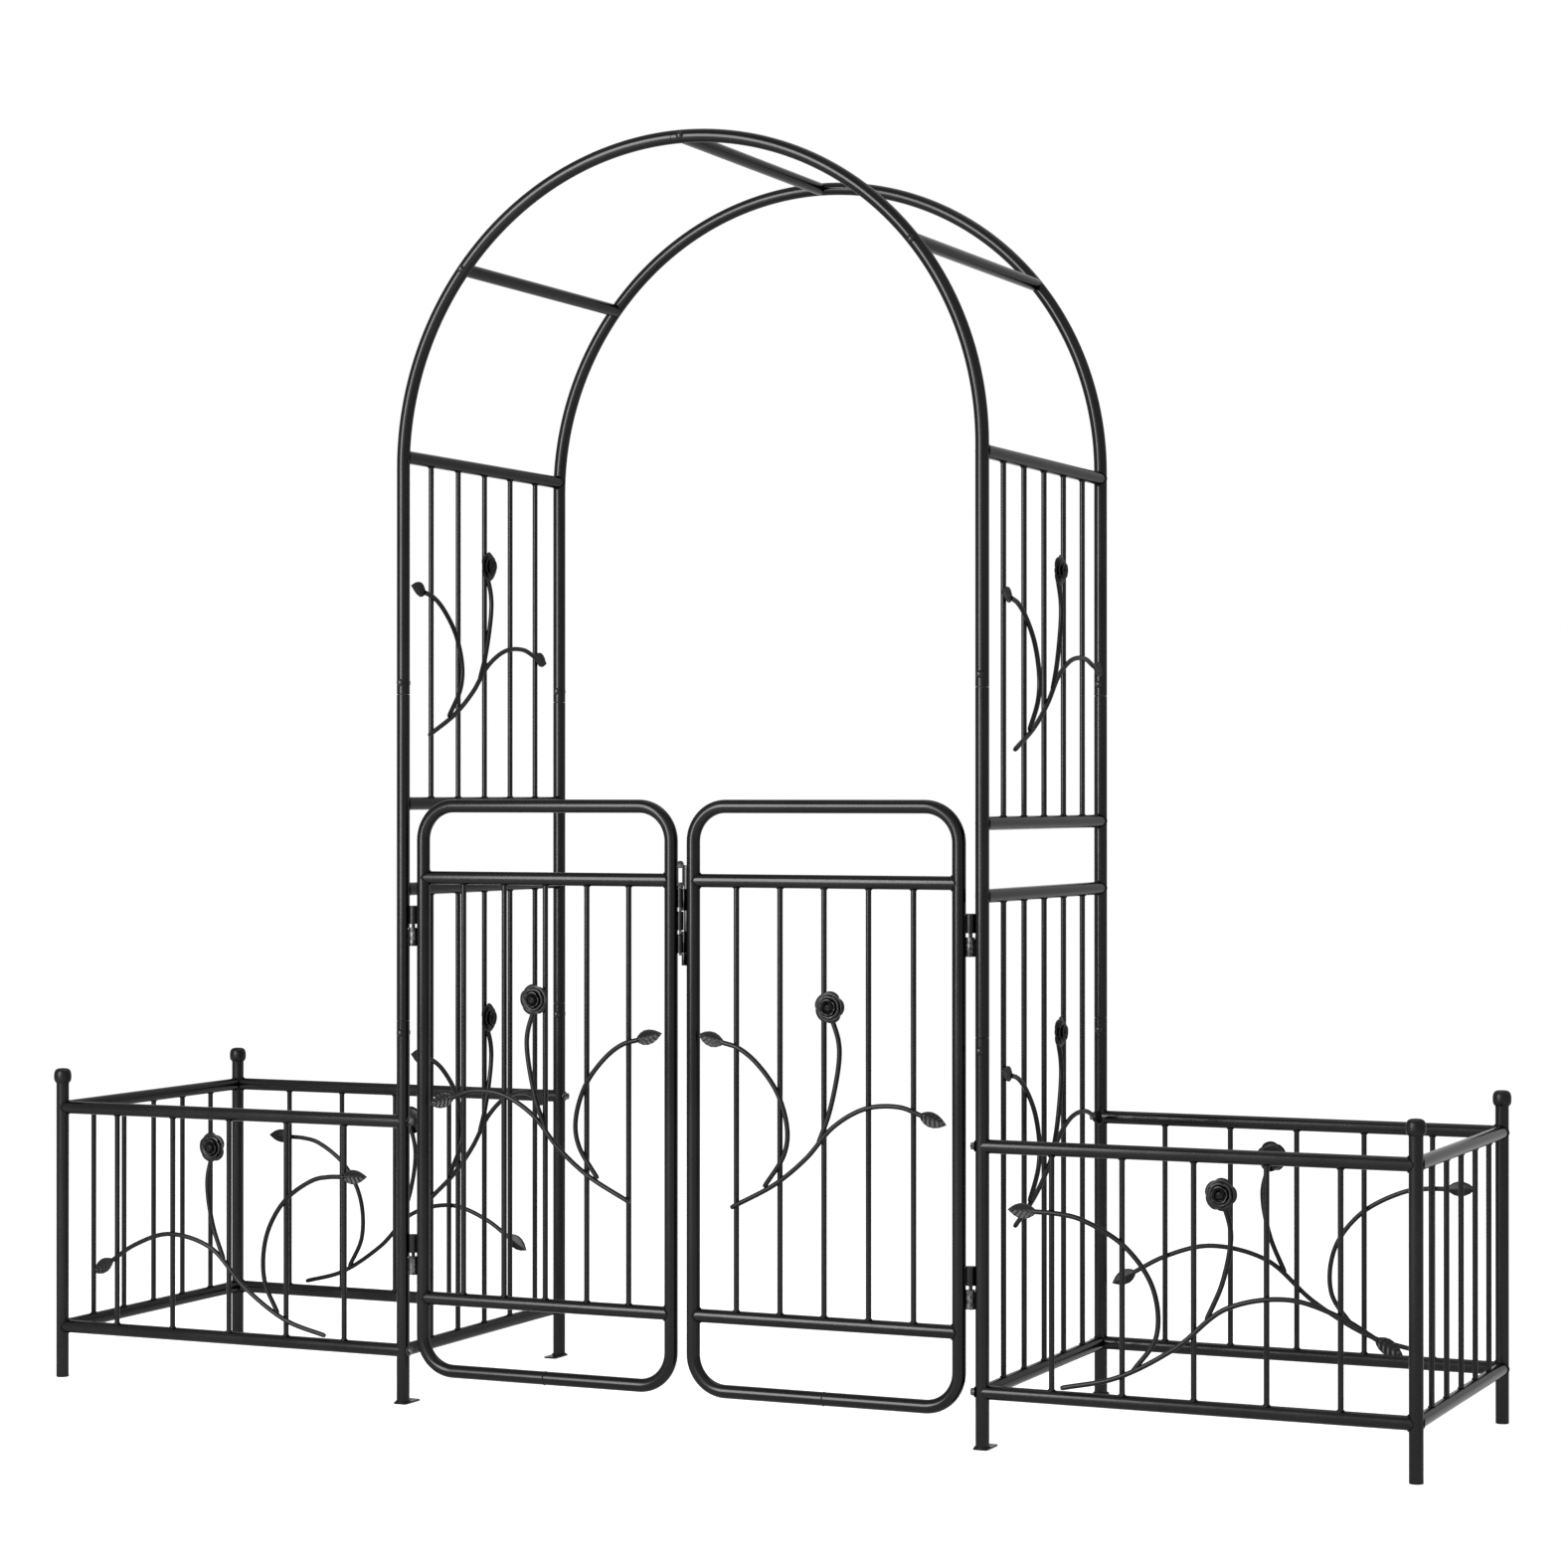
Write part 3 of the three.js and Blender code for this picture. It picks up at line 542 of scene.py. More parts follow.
def domedHead():
    head, dome, rim = smallBolt["head"], smallBolt["dome"], smallBolt["rim"]
    profile = [(head, 0), (head, rim)]
    for k in range(1, smallBolt["domeSteps"]):
        angle = math.pi / 2 * k / smallBolt["domeSteps"]
        profile.append((head * math.cos(angle), rim + (dome - rim) * math.sin(angle)))
    return lathe([(0, 0), *profile, (0, dome)], 24)


def hexNut(radius, height):
    chamfer = radius * 0.1
    profile = [(0, 0), (radius, 0), (radius, height - chamfer), (radius - chamfer, height), (0, height)]
    return lathe(profile, 6, math.pi / 6)


# A bolt along Y through a tube at the origin, its head in front and its nut behind
def tubeBolt():
    reach = tubing["radius"] - smallBolt["sunk"]
    head = shift(0, -reach, 0) @ Matrix.Rotation(math.pi / 2, 4, "X")
    tail = shift(0, reach, 0) @ Matrix.Rotation(-math.pi / 2, 4, "X")
    stub, height = smallBolt["stub"], smallBolt["nutHeight"]
    stubSide, stubTop = height + smallBolt["stubSide"], height + smallBolt["stubTop"]
    end = lathe([(0, 0), (stub, 0), (stub, stubSide), (0, stubTop)], 16)
    shapes = [hexNut(smallBolt["nut"], height), end]
    return [moved(domedHead(), head), *(moved(shape, tail) for shape in shapes)]


for side, sign in sides:
    for face, y, _ in faces:
        shapes = []
        for z in (arch["lowerJoint"] - smallBolt["jointDrop"], arch["upperJoint"] + smallBolt["jointDrop"]):
            place = shift(sign * arch["halfSpan"], y, z)
            shapes.extend(moved(shape, place) for shape in tubeBolt())
        makePiece(f"post_bolts_{face}_{side}", {"darkSteel": shapes})
for label, degrees in crossTubes.items():
    for face, y, outward in faces:
        head = moved(domedHead(), Matrix.Rotation(-outward * math.pi / 2, 4, "X"))
        seat = hoopPoint(degrees, y + outward * (tubing["radius"] - smallBolt["sunk"]))
        makePiece(f"hoop_bolt_{face}_{label}", {"darkSteel": [head]}, shift(*seat))
print("cross tubes and small bolts made")

# Side panels between the front and back posts

sidePanels = {
    "left": {"upper": (1.007, 1.590), "lower": (0.089, 0.863)},
    "right": {"upper": (0.977, 1.560), "lower": (0.089, 0.863)},
}
for side, sign in sides:
    for level, (bottom, top) in sidePanels[side].items():
        place = shift(sign * arch["halfSpan"], frontY, 0) @ turnZ(90)
        panel = barredPanel(2 * arch["halfDepth"], bottom, top)
        dressNode(f"{side}_{level}_panel", panel, place=place)
print("side panels made")

# Planter boxes

planter = {"length": 0.688, "top": 0.473, "bottom": 0.089, "postHeight": 0.516}
finial = {
    "radius": 0.0152, "height": 0.0255, "collar": 0.0122, "collarHeight": 0.0007,
    "profile": [(0.82, 0.045), (0.92, 0.10), (0.975, 0.2), (0.998, 0.34), (1.0, 0.48), (0.985, 0.62),
                (0.94, 0.75), (0.85, 0.86), (0.70, 0.94), (0.48, 0.985), (0.24, 0.998)],
}
planterBolt = {
    "flange": 0.009, "flangeHeight": 0.002, "flangeEdge": 0.0003, "flangeRim": 0.0008,
    "head": 0.0065, "headHeight": 0.0054, "shank": 0.004, "shankEnd": 0.030,
}
cornerX = arch["halfSpan"] + planter["length"]


def finialShape():
    radius, height = finial["radius"], finial["height"]
    outline = [(r * radius, h * height) for r, h in finial["profile"]]
    neck = [(0, 0), (finial["collar"], 0), (finial["collar"], finial["collarHeight"])]
    return lathe([*neck, *outline, (0, height)])


# A flanged hexagon bolt along X, its head towards -X and its flange on the post
def planterBoltShapes():
    spec = planterBolt
    reach, edge, height = spec["flange"], spec["flangeEdge"], spec["flangeHeight"]
    flange = [(0, 0), (reach - edge, 0), (reach, edge), (reach, spec["flangeRim"]), (spec["head"], height),
              (0, height)]
    turn = shift(-tubing["radius"], 0, 0) @ Matrix.Rotation(-math.pi / 2, 4, "Y")
    head = moved(hexNut(spec["head"], spec["headHeight"]), shift(0, 0, height))
    shank = sweep([Vector((-tubing["radius"], 0, 0)), Vector((spec["shankEnd"], 0, 0))], spec["shank"], 16)
    return [moved(lathe(flange), turn), moved(head, turn), shank]


for side, sign in sides:
    for face, y, _ in faces:
        place = shift(sign * arch["halfSpan"], y, 0) @ turnZ(0 if sign > 0 else 180)
        panel = barredPanel(planter["length"], planter["bottom"], planter["top"], startWelds=False)
        dressNode(f"{side}_planter_{face}_panel", panel, place=place)
        for level in ("bottom", "top"):
            node = f"{side}_planter_bolt_{face}_{level}"
            boltPlace = place @ shift(0, 0, planter[level])
            dressNode(node, {"darkSteel": planterBoltShapes()}, boltPlace)
        place = shift(sign * cornerX, y, 0)
        post = plainTube(Vector((0, 0, 0)), Vector((0, 0, planter["postHeight"])))
        dressNode(f"{side}_corner_post_{face}", {"blackCoat": [post]}, place=place)
        place = place @ shift(0, 0, planter["postHeight"])
        dressNode(f"{side}_finial_{face}", {"castBlack": [finialShape()]}, place)
    place = shift(sign * cornerX, frontY, 0) @ turnZ(90)
    panel = barredPanel(2 * arch["halfDepth"], planter["bottom"], planter["top"])
    dressNode(f"{side}_planter_end_panel", panel, place=place)
print("planter boxes made")

# Gate leaves, drawn as the right one; the left one is turned by half a turn

gate = {
    "hingeX": 0.5005, "hingeStile": 0.481, "meetingStile": 0.020, "top": 1.003, "bottom": 0.060,
    "upperRail": 0.883, "lowerRail": 0.180, "corner": 0.057, "cornerSteps": 16,
}
buttWeld = {"sunk": 0.0004, "size": 0.0012}
hinge = {
    "heights": (0.802, 0.251), "radius": 0.008, "length": 0.0305, "gap": 0.0065, "edge": 0.0006,
    "pin": 0.003, "pinReach": 0.0115, "bore": 0.0036, "boreDepth": 0.012, "boreEdge": 0.0004,
    "web": 0.006, "webShorter": 0.001, "webEdge": 0.0004, "weld": 0.0012, "weldInset": 0.002,
}


def leafLoop():
    radius = gate["corner"]
    left, right = gate["meetingStile"] + radius, gate["hingeStile"] - radius
    low, high = gate["bottom"] + radius, gate["top"] - radius
    points = []
    for x, z, start in ((right, low, -90), (right, high, 0), (left, high, 90), (left, low, 180)):
        points.extend(arcPoints(x, z, radius, start, 90, gate["cornerSteps"]))
    return [Vector((x, 0, z)) for x, z in points]


# The outside of a hinge's or the latch's barrel, from its lower edge to its upper one
def barrelSide(spec):
    radius, edge, height = spec["radius"], spec["edge"], spec["length"]
    return [(radius - edge, 0), (radius, edge), (radius, height - edge), (radius - edge, height)]


# The leaf's barrel has a bore below
def leafBarrel():
    bore, depth, edge = hinge["bore"], hinge["boreDepth"], hinge["boreEdge"]
    inside = [(0, depth), (bore, depth), (bore, edge), (bore + edge, 0)]
    return lathe([*inside, *barrelSide(hinge), (0, hinge["length"])])


# The post's barrel carries the pin
def postBarrel():
    pin, edge, height = hinge["pin"], hinge["edge"], hinge["length"]
    top = height + hinge["gap"] + hinge["pinReach"]
    return lathe([(0, 0), *barrelSide(hinge), (pin, height), (pin, top - edge), (pin - edge, top), (0, top)])


# The web between a barrel and a tube on one side, with a weld down both of its faces
def hingeWeb(bottom, tubeX):
    size = (abs(gate["hingeX"] - tubeX), hinge["web"], hinge["length"] - hinge["webShorter"])
    centre = ((gate["hingeX"] + tubeX) / 2, 0, bottom + hinge["length"] / 2)
    web = roundBox(size, centre, hinge["webEdge"])
    edgeX = tubeX + (tubing["radius"] if tubeX < gate["hingeX"] else -tubing["radius"])
    welds = []
    for y in (-1, 1):
        start = Vector((edgeX, y * hinge["web"] / 2, bottom + hinge["weldInset"]))
        length = hinge["length"] - 2 * hinge["weldInset"]
        welds.append(seamBead(start, start + zAxis * length, hinge["weld"]))
    return web, welds


for side, sign in sides:
    place = shift(0, frontY, 0) @ turnZ(0 if sign > 0 else 180)
    width = gate["hingeStile"] - gate["meetingStile"]
    panel = barredPanel(width, gate["lowerRail"], gate["upperRail"])
    stile = shift(gate["meetingStile"], 0, 0)
    parts = {finish: [moved(shape, stile) for shape in shapes] for finish, shapes in panel.items()}
    parts["blackCoat"].append(sweep(leafLoop(), tubing["radius"], tubing["sides"], loop=True))
    middle = shift(gate["meetingStile"] + width / 2, 0, gate["bottom"])
    lying = middle @ Matrix.Rotation(math.pi / 2, 4, "Y")
    butt = ringBead(tubing["radius"] - buttWeld["sunk"], 0, buttWeld["size"])
    parts["weldCoat"].append(moved(butt, lying))
    for height in hinge["heights"]:
        bottom = height + hinge["gap"] / 2
        web, welds = hingeWeb(bottom, gate["hingeStile"])
        parts["blackCoat"].extend([moved(leafBarrel(), shift(gate["hingeX"], 0, bottom)), web])
        parts["weldCoat"].extend(welds)
    dressNode(f"{side}_gate_leaf", parts, place=place, body=f"{side}_gate")
    for level, height in zip(("upper", "lower"), hinge["heights"]):
        bottom = height - hinge["gap"] / 2 - hinge["length"]
        web, welds = hingeWeb(bottom, arch["halfSpan"])
        barrel = moved(postBarrel(), shift(gate["hingeX"], 0, bottom))
        parts = {"darkSteel": [barrel, web], "weldCoat": welds}
        dressNode(f"{side}_hinge_{level}", parts, place)
print("gate leaves and hinges made")

# Drop-pin latch in the middle of the gate

latch = {
    "x": -0.0035, "radius": 0.0054, "bore": 0.0026, "length": 0.0305, "gap": 0.0065, "lowest": 0.765,
    "edge": 0.0005, "clearance": 0.0015, "pin": 0.0022, "pinEdge": 0.0008, "tip": 0.004, "tipEdge": 0.0012,
}
latchPlate = {
    "bottom": 0.745, "top": 0.908, "edge": -0.0008, "step": 0.0032, "thickness": 0.002, "bevel": 0.0003,
    "intoStile": 0.0006, "webCut": 0.0004, "webInset": 0.0003,
    "weld": 0.0009, "weldSunk": 0.0002, "weldStart": 0.004, "weldEnd": 0.050, "webWeldStart": 0.002,
}
pull = {
    "rod": 0.0014, "width": 0.0114, "height": 0.045, "turn": 24, "lift": 0.0003, "bendSteps": 16,
    "slotBottom": 0.010, "slotHeight": 0.023,
    "eyeBottom": 0.001, "eyeTop": 0.0008, "eyeShare": 1.7, "eyeBevel": 0.0011,
    "collar": [(0.0046, 0), (0.0050, 0.0006), (0.0050, 0.0030), (0.0034, 0.0048)], "collarTop": 0.0052,
}
stileEdge = gate["meetingStile"] - tubing["radius"]
barrelPitch = latch["length"] + latch["gap"]


def latchBarrel(number):
    bore, height = latch["bore"], latch["length"]
    ring = lathe([(bore, 0), *barrelSide(latch), (bore, height), (bore, 0)], 28)
    return moved(ring, shift(latch["x"], 0, latch["lowest"] + number * barrelPitch))


# A flat strip in the plane of the leaves, between two distances across and two heights
def latchStrip(start, end, bottom, top):
    size = (end - start, latchPlate["thickness"], top - bottom)
    return roundBox(size, ((start + end) / 2, 0, (bottom + top) / 2), latchPlate["bevel"])


def stileWelds(x, bottom, top):
    welds = []
    for y in (-1, 1):
        start = Vector((x, y * latchPlate["thickness"] / 2, bottom))
        welds.append(seamBead(start, Vector((x, start.y, top)), latchPlate["weld"]))
    return welds


place = shift(0, frontY, 0)
knuckleBottom = latch["lowest"] + barrelPitch
knuckleTop = knuckleBottom + latch["length"]
topBarrelTop = knuckleTop + barrelPitch

# The plate on the right leaf reaches in between the barrels and steps back beside the knuckle
plateSide = stileEdge + latchPlate["intoStile"]
plateBottom, plateTop, plateEdge = latchPlate["bottom"], latchPlate["top"], latchPlate["edge"]
shapes = [
    latchStrip(latchPlate["step"], plateSide, plateBottom, plateTop),
    latchStrip(plateEdge, plateSide, plateBottom, latch["lowest"] - latch["edge"]),
    latchStrip(plateEdge, plateSide, latch["lowest"], knuckleBottom - latch["clearance"]),
    latchStrip(plateEdge, plateSide, knuckleTop + latch["clearance"], topBarrelTop),
    latchBarrel(0),
    latchBarrel(2),
]
weldX, near, far = stileEdge - latchPlate["weldSunk"], latchPlate["weldStart"], latchPlate["weldEnd"]
welds = stileWelds(weldX, plateBottom + near, plateBottom + far)
welds += stileWelds(weldX, plateTop - far, plateTop - near)
dressNode("latch_plate", {"blackCoat": shapes, "weldCoat": welds}, place=place, body="right_gate")

# The knuckle and its web on the left leaf
webEnd = latch["x"] - latch["bore"] - latchPlate["webCut"]
inset, near = latchPlate["webInset"], latchPlate["webWeldStart"]
web = latchStrip(-plateSide, webEnd, knuckleBottom + inset, knuckleTop - inset)
welds = stileWelds(-weldX, knuckleBottom + near, knuckleTop - near)
parts = {"blackCoat": [latchBarrel(1), web], "weldCoat": welds}
dressNode("latch_knuckle", parts, place=place, body="left_gate")


# The pull loop: a rod bent to a ring with round ends, with a thick eye above and below its slot
def pullLoop(bottom):
    rod = pull["rod"]
    reach = pull["width"] / 2 - rod
    points = []
    for z, start in ((bottom + pull["height"] - reach - rod, 0), (bottom + reach + rod, 180)):
        points.extend(arcPoints(0, z, reach, start, 180, pull["bendSteps"]))
    shapes = [sweep([Vector((x, 0, z)) for x, z in points], rod, 16, loop=True)]
    slotTop = pull["slotBottom"] + pull["slotHeight"]
    for low, high in ((pull["eyeBottom"], pull["slotBottom"]), (slotTop, pull["height"] - pull["eyeTop"])):
        size = (2 * reach, rod * pull["eyeShare"], high - low)
        shapes.append(roundBox(size, (0, 0, bottom + (low + high) / 2), pull["eyeBevel"]))
    turn = shift(latch["x"], 0, 0) @ turnZ(pull["turn"])
    return [moved(shape, turn) for shape in shapes]


loopBottom = topBarrelTop + pull["lift"]
pinBottom = latch["lowest"] - latch["tip"]
pinTop = loopBottom + pull["slotBottom"] / 2
pin = latch["pin"]
tipTop = pinBottom + latch["tipEdge"]
profile = [(0, pinBottom), (pin - latch["pinEdge"], pinBottom), (pin, tipTop), (pin, pinTop), (0, pinTop)]
rim = [(radius, loopBottom + up) for radius, up in pull["collar"]]
collar = [(pin, loopBottom), *rim, (pin, loopBottom + pull["collarTop"]), (pin, loopBottom)]
shapes = [moved(lathe(outline, 24), shift(latch["x"], 0, 0)) for outline in (profile, collar)]
dressNode("latch_pin", {"darkSteel": [*shapes, *pullLoop(loopBottom)]}, place, "latch_pin")
print("latch made")

# Scrollwork: stems of round rod, ribbed leaves and petalled roses

scrollwork = {"stem": 0.004, "stemSides": 16, "step": 0.004, "offset": 0.0082, "tipShare": 0.8}
tack = {
    "profile": [(0, -0.0018), (0.0016, -0.0015), (0.0026, 0), (0.0016, 0.0015), (0, 0.0018)],
    "sides": 12, "across": 0.0026, "back": 0.0042,
}
gateScroll = {
    "hook": [(0.12, 0.63), (0.18, 0.619), (0.246, 0.589), (0.33, 0.52), (0.369, 0.436), (0.357, 0.38),
             (0.281, 0.304)],
    "bloom": [(0.532, 0.7), (0.562, 0.641), (0.564, 0.595), (0.528, 0.48), (0.486, 0.408)],
    "branch": [(0.87, 0.48), (0.79, 0.497), (0.664, 0.491), (0.543, 0.447), (0.44, 0.373), (0.324, 0.312),
               (0.154, 0.253)],
    "rose": (0.532, 0.717),
}
rightPlanterScroll = {
    "hook": [(0.13, 0.747), (0.186, 0.743), (0.24, 0.725), (0.345, 0.623), (0.41, 0.462),
             (0.417, 0.273), (0.361, 0.127)],
    "bloom": [(0.57, 0.83), (0.589, 0.7), (0.571, 0.51), (0.533, 0.352)],
    "branch": [(0.918, 0.316), (0.837, 0.394), (0.72, 0.451), (0.578, 0.401), (0.462, 0.234), (0.325, 0.1),
               (0.193, 0.043)],
    "rose": (0.568, 0.852),
}
leftPlanterScroll = {
    "hook": [(0.159, 0.747), (0.206, 0.743), (0.25, 0.725), (0.333, 0.623), (0.384, 0.462),
             (0.389, 0.273), (0.35, 0.127)],
    "bloom": [(0.54, 0.83), (0.556, 0.7), (0.541, 0.51), (0.508, 0.352)],
    "branch": [(0.841, 0.316), (0.771, 0.394), (0.67, 0.451), (0.547, 0.401), (0.447, 0.234),
               (0.328, 0.1), (0.214, 0.043)],
    "rose": (0.538, 0.852),
}
rose = {
    "back": 0.004,
    # Petals, reach, root, low, high, curl, spread and turn of each layer, from the outside
    "layers": [
        (5, 0.0250, 0.0035, 0.0010, 0.0105, 0.0035, 1.28, 0),
        (5, 0.0190, 0.0030, 0.0025, 0.0145, 0.0022, 1.25, 36),
        (4, 0.0130, 0.0028, 0.0040, 0.0178, 0.0010, 1.35, 12),
        (3, 0.0092, 0.0050, 0.0060, 0.0176, 0.0002, 1.50, 50),
    ],
    "thickness": 0.0011, "across": 12, "along": 9, "cupWidth": 0.55, "rimStart": 0.72,
    "calyx": [(0, 0.0004), (0.0062, 0.0006), (0.0078, 0.0024), (0.0066, 0.0052), (0.003, 0.0075),
              (0, 0.008)],
    "core": [(0, 0.004), (0.0060, 0.006), (0.0068, 0.0140), (0.0058, 0.0164), (0.0036, 0.0182),
             (0, 0.0190)],
    "heart": {"turns": 2.2, "steps": 39, "start": 0.0008, "grow": 0.0056, "top": 0.0194, "drop": 0.0036},
    "heartStrip": 0.0008,
}
leafSpec = {
    "length": 0.048, "halfWidth": 0.0125, "fold": 0.0034, "thickness": 0.0022, "crown": 0.001,
    "vein": 0.0007, "veins": 6, "veinSlant": 0.9, "midrib": 0.0014, "midribWidth": 0.0014,
    "along": 44, "across": 9,
    "outline": [(0.0, 0.1), (0.05, 0.28), (0.12, 0.55), (0.26, 0.85), (0.42, 1.0), (0.6, 0.93),
                (0.76, 0.7), (0.9, 0.34), (1.0, 0.02)],
}


# A smooth curve through points, sampled at an even step
def smoothCurve(points, step, perSpan=24):
    ends = [2 * points[0] - points[1], *points, 2 * points[-1] - points[-2]]
    dense = []
    for i in range(1, len(ends) - 2):
        p0, p1, p2, p3 = ends[i - 1:i + 3]
        d0, d1, d2 = (math.sqrt((b - a).length) for a, b in ((p0, p1), (p1, p2), (p2, p3)))
        m1 = ((p1 - p0) / d0 - (p2 - p0) / (d0 + d1) + (p2 - p1) / d1) * d1
        m2 = ((p2 - p1) / d1 - (p3 - p1) / (d1 + d2) + (p3 - p2) / d2) * d1
        for k in range(perSpan):
            t = k / perSpan
            dense.append(p1 * (2 * t ** 3 - 3 * t ** 2 + 1) + m1 * (t ** 3 - 2 * t ** 2 + t)
                         + p2 * (3 * t ** 2 - 2 * t ** 3) + m2 * (t ** 3 - t ** 2))
    dense.append(points[-1])
    lengths = [0.0]
    for a, b in zip(dense, dense[1:]):
        lengths.append(lengths[-1] + (b - a).length)
    count = max(4, round(lengths[-1] / step))
    path, k = [], 0
    for i in range(count + 1):
        goal = lengths[-1] * i / count
        while k < len(dense) - 2 and lengths[k + 1] < goal:
            k += 1
        path.append(dense[k].lerp(dense[k + 1], (goal - lengths[k]) / (lengths[k + 1] - lengths[k])))
    return path


# A value between the rows of a table, partly eased so that the outline has no corners
def between(table, share, ease=0.35):
    for (s0, v0), (s1, v1) in zip(table, table[1:]):
        if share <= s1:
            t = (share - s0) / (s1 - s0)
            return v0 + (v1 - v0) * ((3 * t ** 2 - 2 * t ** 3) * ease + t * (1 - ease))
    return table[-1][1]


# A leaf along +Z that opens towards -Y, with a midrib and slanted side veins
def leafShape():
    spec = leafSpec
    columns = [c / spec["across"] for c in range(-spec["across"], spec["across"] + 1)]
    front, back = [], []
    for i in range(spec["along"] + 1):
        share = i / spec["along"]
        half = spec["halfWidth"] * between(spec["outline"], share)
        for c in columns:
            x = half * c
            rim = 1 - abs(c) ** 6
            slant = share * spec["veins"] - abs(c) * spec["veinSlant"]
            vein = spec["vein"] * rim * min(1, abs(c) * 5) * (0.5 + 0.5 * math.cos(2 * math.pi * slant))
            rib = spec["midrib"] * math.exp(-(x / spec["midribWidth"]) ** 2) * (1 - 0.6 * share)
            lift = -spec["fold"] * abs(x) / spec["halfWidth"] + spec["crown"] * math.sin(math.pi * share)
            middle = Vector((x, lift, share * spec["length"]))
            body = spec["thickness"] * (0.35 + 0.65 * rim) / 2
            front.append(middle - yAxis * (body * 0.6 + vein + rib))
            back.append(middle + yAxis * body)
    count = len(columns)
    size = len(front)
    verts, polys = front + back, []
    for i in range(spec["along"]):
        for k in range(count - 1):
            a = i * count + k
            polys.append((a, a + 1, a + 1 + count, a + count))
            polys.append((size + a, size + a + count, size + a + 1 + count, size + a + 1))
    for i in range(spec["along"]):
        a, b = i * count, i * count + count - 1
        polys.append((a, a + count, size + a + count, size + a))
        polys.append((b, size + b, size + b + count, b + count))
    last = spec["along"] * count
    for k in range(count - 1):
        polys.append((k, size + k, size + k + 1, k + 1))
        polys.append((last + k, last + k + 1, size + last + k + 1, size + last + k))
    return verts, polys


# One cupped petal whose rim rolls outwards, as a thin closed shell
def petalShape(layer, number):
    petals, reachTo, root, lowest, highest, curl, spread, turned = layer
    rows, columns = rose["along"], rose["across"]
    angle = math.radians(turned) + 2 * math.pi * number / petals
    half = math.pi / petals * spread
    cup, rim = rose["cupWidth"], rose["rimStart"]
    bm = bmesh.new()
    grid = []
    for i in range(rows + 1):
        v = i / rows
        line = []
        for k in range(columns + 1):
            u = 2 * k / columns - 1
            share = v * (1 - 0.2 * abs(u) ** 2.6)
            width = half * (cup + (1 - cup) * math.sin(math.pi / 2 * min(1, share * 1.5)))
            reach = root + (reachTo - root) * share ** 0.85 * (1 + 0.05 * u)
            rise = lowest + (highest - lowest) * (1 - (1 - share) ** 1.7)
            rise -= curl * max(0, (share - rim) / (1 - rim)) ** 2
            turn = angle + u * width
            line.append(bm.verts.new((reach * math.cos(turn), reach * math.sin(turn), rise)))
        grid.append(line)
    for low, high in zip(grid, grid[1:]):
        for k in range(columns):
            bm.faces.new((low[k], low[k + 1], high[k + 1], high[k]))
    bm.normal_update()
    bmesh.ops.solidify(bm, geom=bm.faces[:], thickness=rose["thickness"])
    bmesh.ops.recalc_face_normals(bm, faces=bm.faces[:])
    return shapeOf(bm)


# The rolled strip in the heart of the rose
def budShape():
    heart = rose["heart"]
    path = []
    for k in range(heart["steps"] + 1):
        share = k / heart["steps"]
        angle = 2 * math.pi * heart["turns"] * share
        reach = heart["start"] + heart["grow"] * share
        rise = heart["top"] - heart["drop"] * share ** 2
        path.append(Vector((reach * math.cos(angle), reach * math.sin(angle), rise)))
    return [sweep(path, rose["heartStrip"], 8), lathe(rose["core"], 24)]


# A rose that faces +Z, its back at the origin
def roseShapes():
    petals = [petalShape(layer, number) for layer in rose["layers"] for number in range(layer[0])]
    return [*petals, lathe(rose["calyx"], 24), *budShape()]


petalled = roseShapes()
ribbedLeaf = leafShape()
tackBlob = lathe(tack["profile"], tack["sides"])


# A scroll in the XZ plane that faces -Y, its bars at the given places along X behind it
def scrollParts(design, width, height, barPlaces, sign=1):
    def at(share):
        return Vector((share[0] * width, 0, share[1] * height))

    cast, rods, tacks = [], [], []
    for key in ("bloom", "hook", "branch"):
        points = [at(share) for share in design[key]]
        path = smoothCurve(points, scrollwork["step"])
        radii = [scrollwork["stem"]] * len(path)
        radii[-1] = scrollwork["stem"] * scrollwork["tipShare"]
        rods.append(sweep(path, radii, scrollwork["stemSides"]))
        for a, b in zip(path, path[1:]):
            for x in barPlaces:
                if (a.x - x) * (b.x - x) <= 0 and a.x != b.x:
                    here = a.lerp(b, (x - a.x) / (b.x - a.x))
                    for across in (-tack["across"], tack["across"]):
                        tacks.append(moved(tackBlob, shift(here.x + across, tack["back"], here.z)))
        if key != "bloom":
            outward = (points[0] - points[1]).normalized()
            base = points[0] - outward * scrollwork["stem"]
            turn = Matrix.Rotation(math.atan2(outward.x, outward.z), 4, "Y")
            cast.append(moved(ribbedLeaf, shift(*base) @ turn))
    centre = at(design["rose"])
    facing = shift(centre.x, rose["back"], centre.z) @ Matrix.Rotation(math.pi / 2, 4, "X")
    cast.extend(moved(shape, facing) for shape in petalled)
    mirror = Matrix.Diagonal((sign, 1, 1, 1))
    groups = {"castBlack": cast + rods, "weldCoat": tacks}
    return {finish: [moved(shape, mirror) for shape in shapes] for finish, shapes in groups.items()}


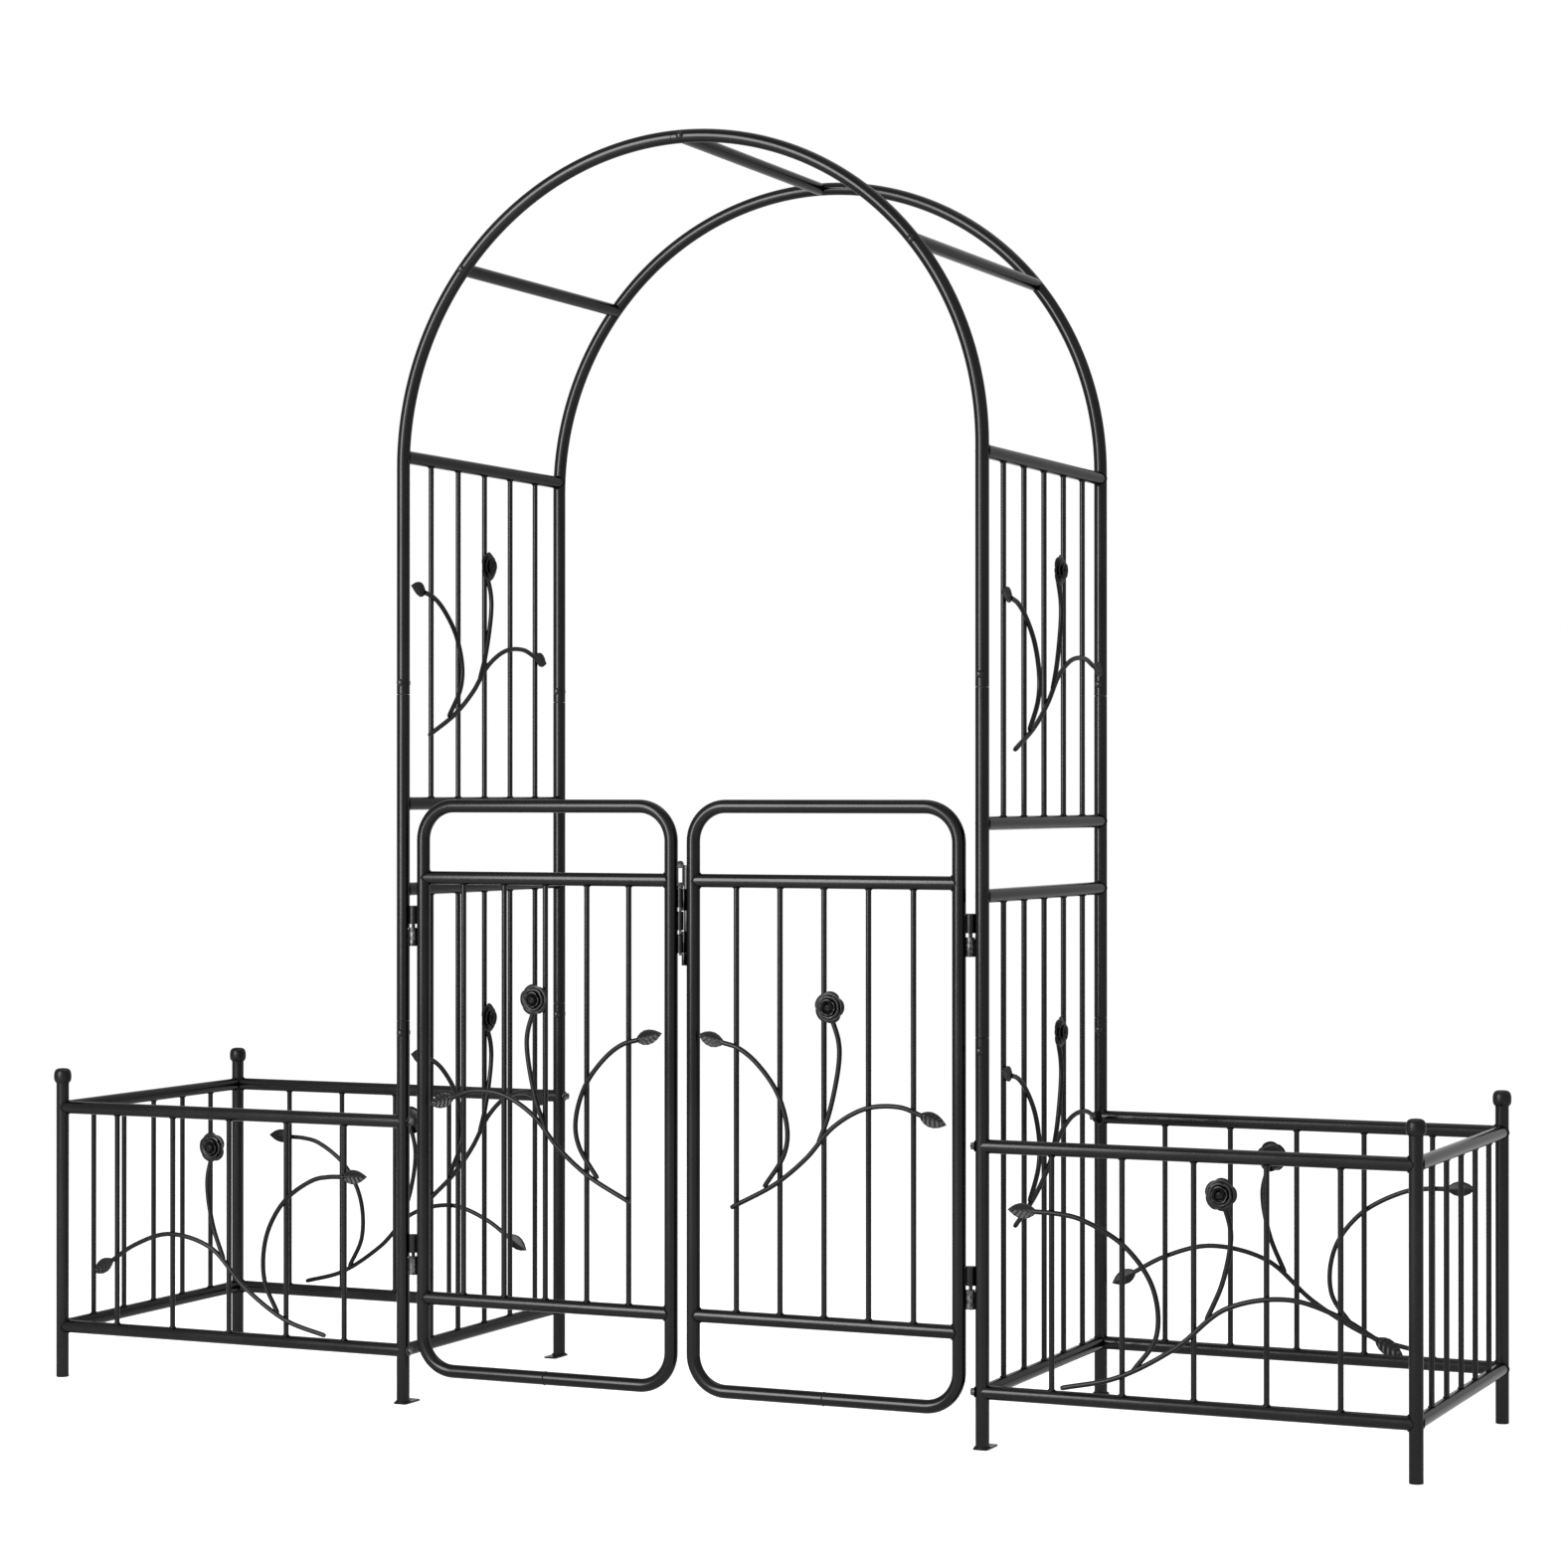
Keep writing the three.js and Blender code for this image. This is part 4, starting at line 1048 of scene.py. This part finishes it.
sideScroll = {"width": 0.530, "height": 0.640, "starts": {"left": -0.008, "right": 0.042}, "drop": 0.017}
for side, sign in sides:
    width = gate["hingeStile"] - gate["meetingStile"]
    height = gate["upperRail"] - gate["lowerRail"]
    parts = scrollParts(gateScroll, width, height, panelBars(width), sign)
    place = shift(sign * gate["meetingStile"], frontY - scrollwork["offset"], gate["lowerRail"])
    dressNode(f"{side}_gate_scroll", parts, place, f"{side}_gate")

    start = sideScroll["starts"][side]
    for level, (bottom, top) in sidePanels[side].items():
        rise = (bottom + top - sideScroll["height"]) / 2
        rise += -sideScroll["drop"] if level == "upper" else sideScroll["drop"]
        bars = panelBars(2 * arch["halfDepth"], start)
        parts = scrollParts(gateScroll, sideScroll["width"], sideScroll["height"], bars)
        turned = shift(sign * arch["halfSpan"], frontY, 0) @ turnZ(90)
        place = turned @ shift(start, -scrollwork["offset"], rise)
        dressNode(f"{side}_{level}_scroll", parts, place)

    height = planter["top"] - planter["bottom"]
    design = rightPlanterScroll if sign > 0 else leftPlanterScroll
    for face, y, outward in faces:
        parts = scrollParts(design, planter["length"], height, panelBars(planter["length"]), sign)
        if outward < 0:
            place = shift(sign * arch["halfSpan"], y - scrollwork["offset"], planter["bottom"])
        else:
            place = shift(sign * cornerX, y + scrollwork["offset"], planter["bottom"]) @ turnZ(180)
        dressNode(f"{side}_planter_{face}_scroll", parts, place)
print("scrollwork made")

# Floor, background, lamps and camera

studio = {
    "floorColour": (0.8, 0.8, 0.8), "floorGlow": 0.82, "floorSize": 14, "worldFill": 0.25,
    "lamps": {
        "keySoftbox": {"place": (-2.0, -4.8, 2.1), "aim": (0, 0, 1.3), "size": (1.8, 3.2), "power": 330},
        "fillSoftbox": {"place": (0.5, -6.2, 1.9), "aim": (0, 0, 1.0), "size": (1.4, 3.0), "power": 40},
        "topSoftbox": {"place": (0.2, 1.4, 5.0), "aim": (0, 0, 1.0), "size": (3.4, 3.4), "power": 50},
    },
}


# 1 for the rays that see the background itself: the camera's, and those through gloss and glass
def seenDirectly(tree):
    light = addNode(tree, "ShaderNodeLightPath")
    seen = mathNode(tree, "MAXIMUM", light.outputs["Is Camera Ray"], light.outputs["Is Glossy Ray"])
    return mathNode(tree, "MAXIMUM", seen, light.outputs["Is Transmission Ray"])


bpy.ops.mesh.primitive_grid_add(x_subdivisions=2, y_subdivisions=2, size=studio["floorSize"])
floor = bpy.context.object
floor.name = "floor"
material = bpy.data.materials.new("paleFloor")
material.use_nodes = True
tree = material.node_tree
tree.nodes.clear()
diffuse = addNode(tree, "ShaderNodeBsdfDiffuse")
diffuse.inputs["Color"].default_value = (*studio["floorColour"], 1)
glow = addNode(tree, "ShaderNodeEmission")
tree.links.new(mathNode(tree, "MULTIPLY", seenDirectly(tree), studio["floorGlow"]), glow.inputs["Strength"])
both = addNode(tree, "ShaderNodeAddShader")
tree.links.new(diffuse.outputs["BSDF"], both.inputs[0])
tree.links.new(glow.outputs["Emission"], both.inputs[1])
tree.links.new(both.outputs["Shader"], addNode(tree, "ShaderNodeOutputMaterial").inputs["Surface"])
floor.data.materials.append(material)

world = bpy.data.worlds.new("studio")
bpy.context.scene.world = world
world.use_nodes = True
tree = world.node_tree
background = tree.nodes["Background"]
background.inputs["Color"].default_value = (1, 1, 1, 1)
spare = mathNode(tree, "MULTIPLY", seenDirectly(tree), 1 - studio["worldFill"])
tree.links.new(mathNode(tree, "ADD", spare, studio["worldFill"]), background.inputs["Strength"])

for name, lamp in studio["lamps"].items():
    data = bpy.data.lights.new(name, "AREA")
    data.shape = "RECTANGLE"
    data.size, data.size_y = lamp["size"]
    data.energy = lamp["power"]
    holder = bpy.data.objects.new(name, data)
    holder.location = lamp["place"]
    aim = Vector(lamp["aim"]) - Vector(lamp["place"])
    holder.rotation_euler = aim.to_track_quat("-Z", "Y").to_euler()
    bpy.context.scene.collection.objects.link(holder)

cameraSpec = {
    "place": (2.5386, -5.5502, 1.0220), "tilt": 0.0035, "heading": 0.4208, "lens": 82.80, "sensor": 36,
}
cameraData = bpy.data.cameras.new("camera")
cameraData.lens = cameraSpec["lens"]
cameraData.sensor_width = cameraSpec["sensor"]
camera = bpy.data.objects.new("camera", cameraData)
camera.location = cameraSpec["place"]
camera.rotation_euler = (math.pi / 2 + cameraSpec["tilt"], 0, cameraSpec["heading"])
bpy.context.scene.collection.objects.link(camera)
bpy.context.scene.camera = camera
bpy.context.scene.view_settings.view_transform = "Standard"
print("studio made")
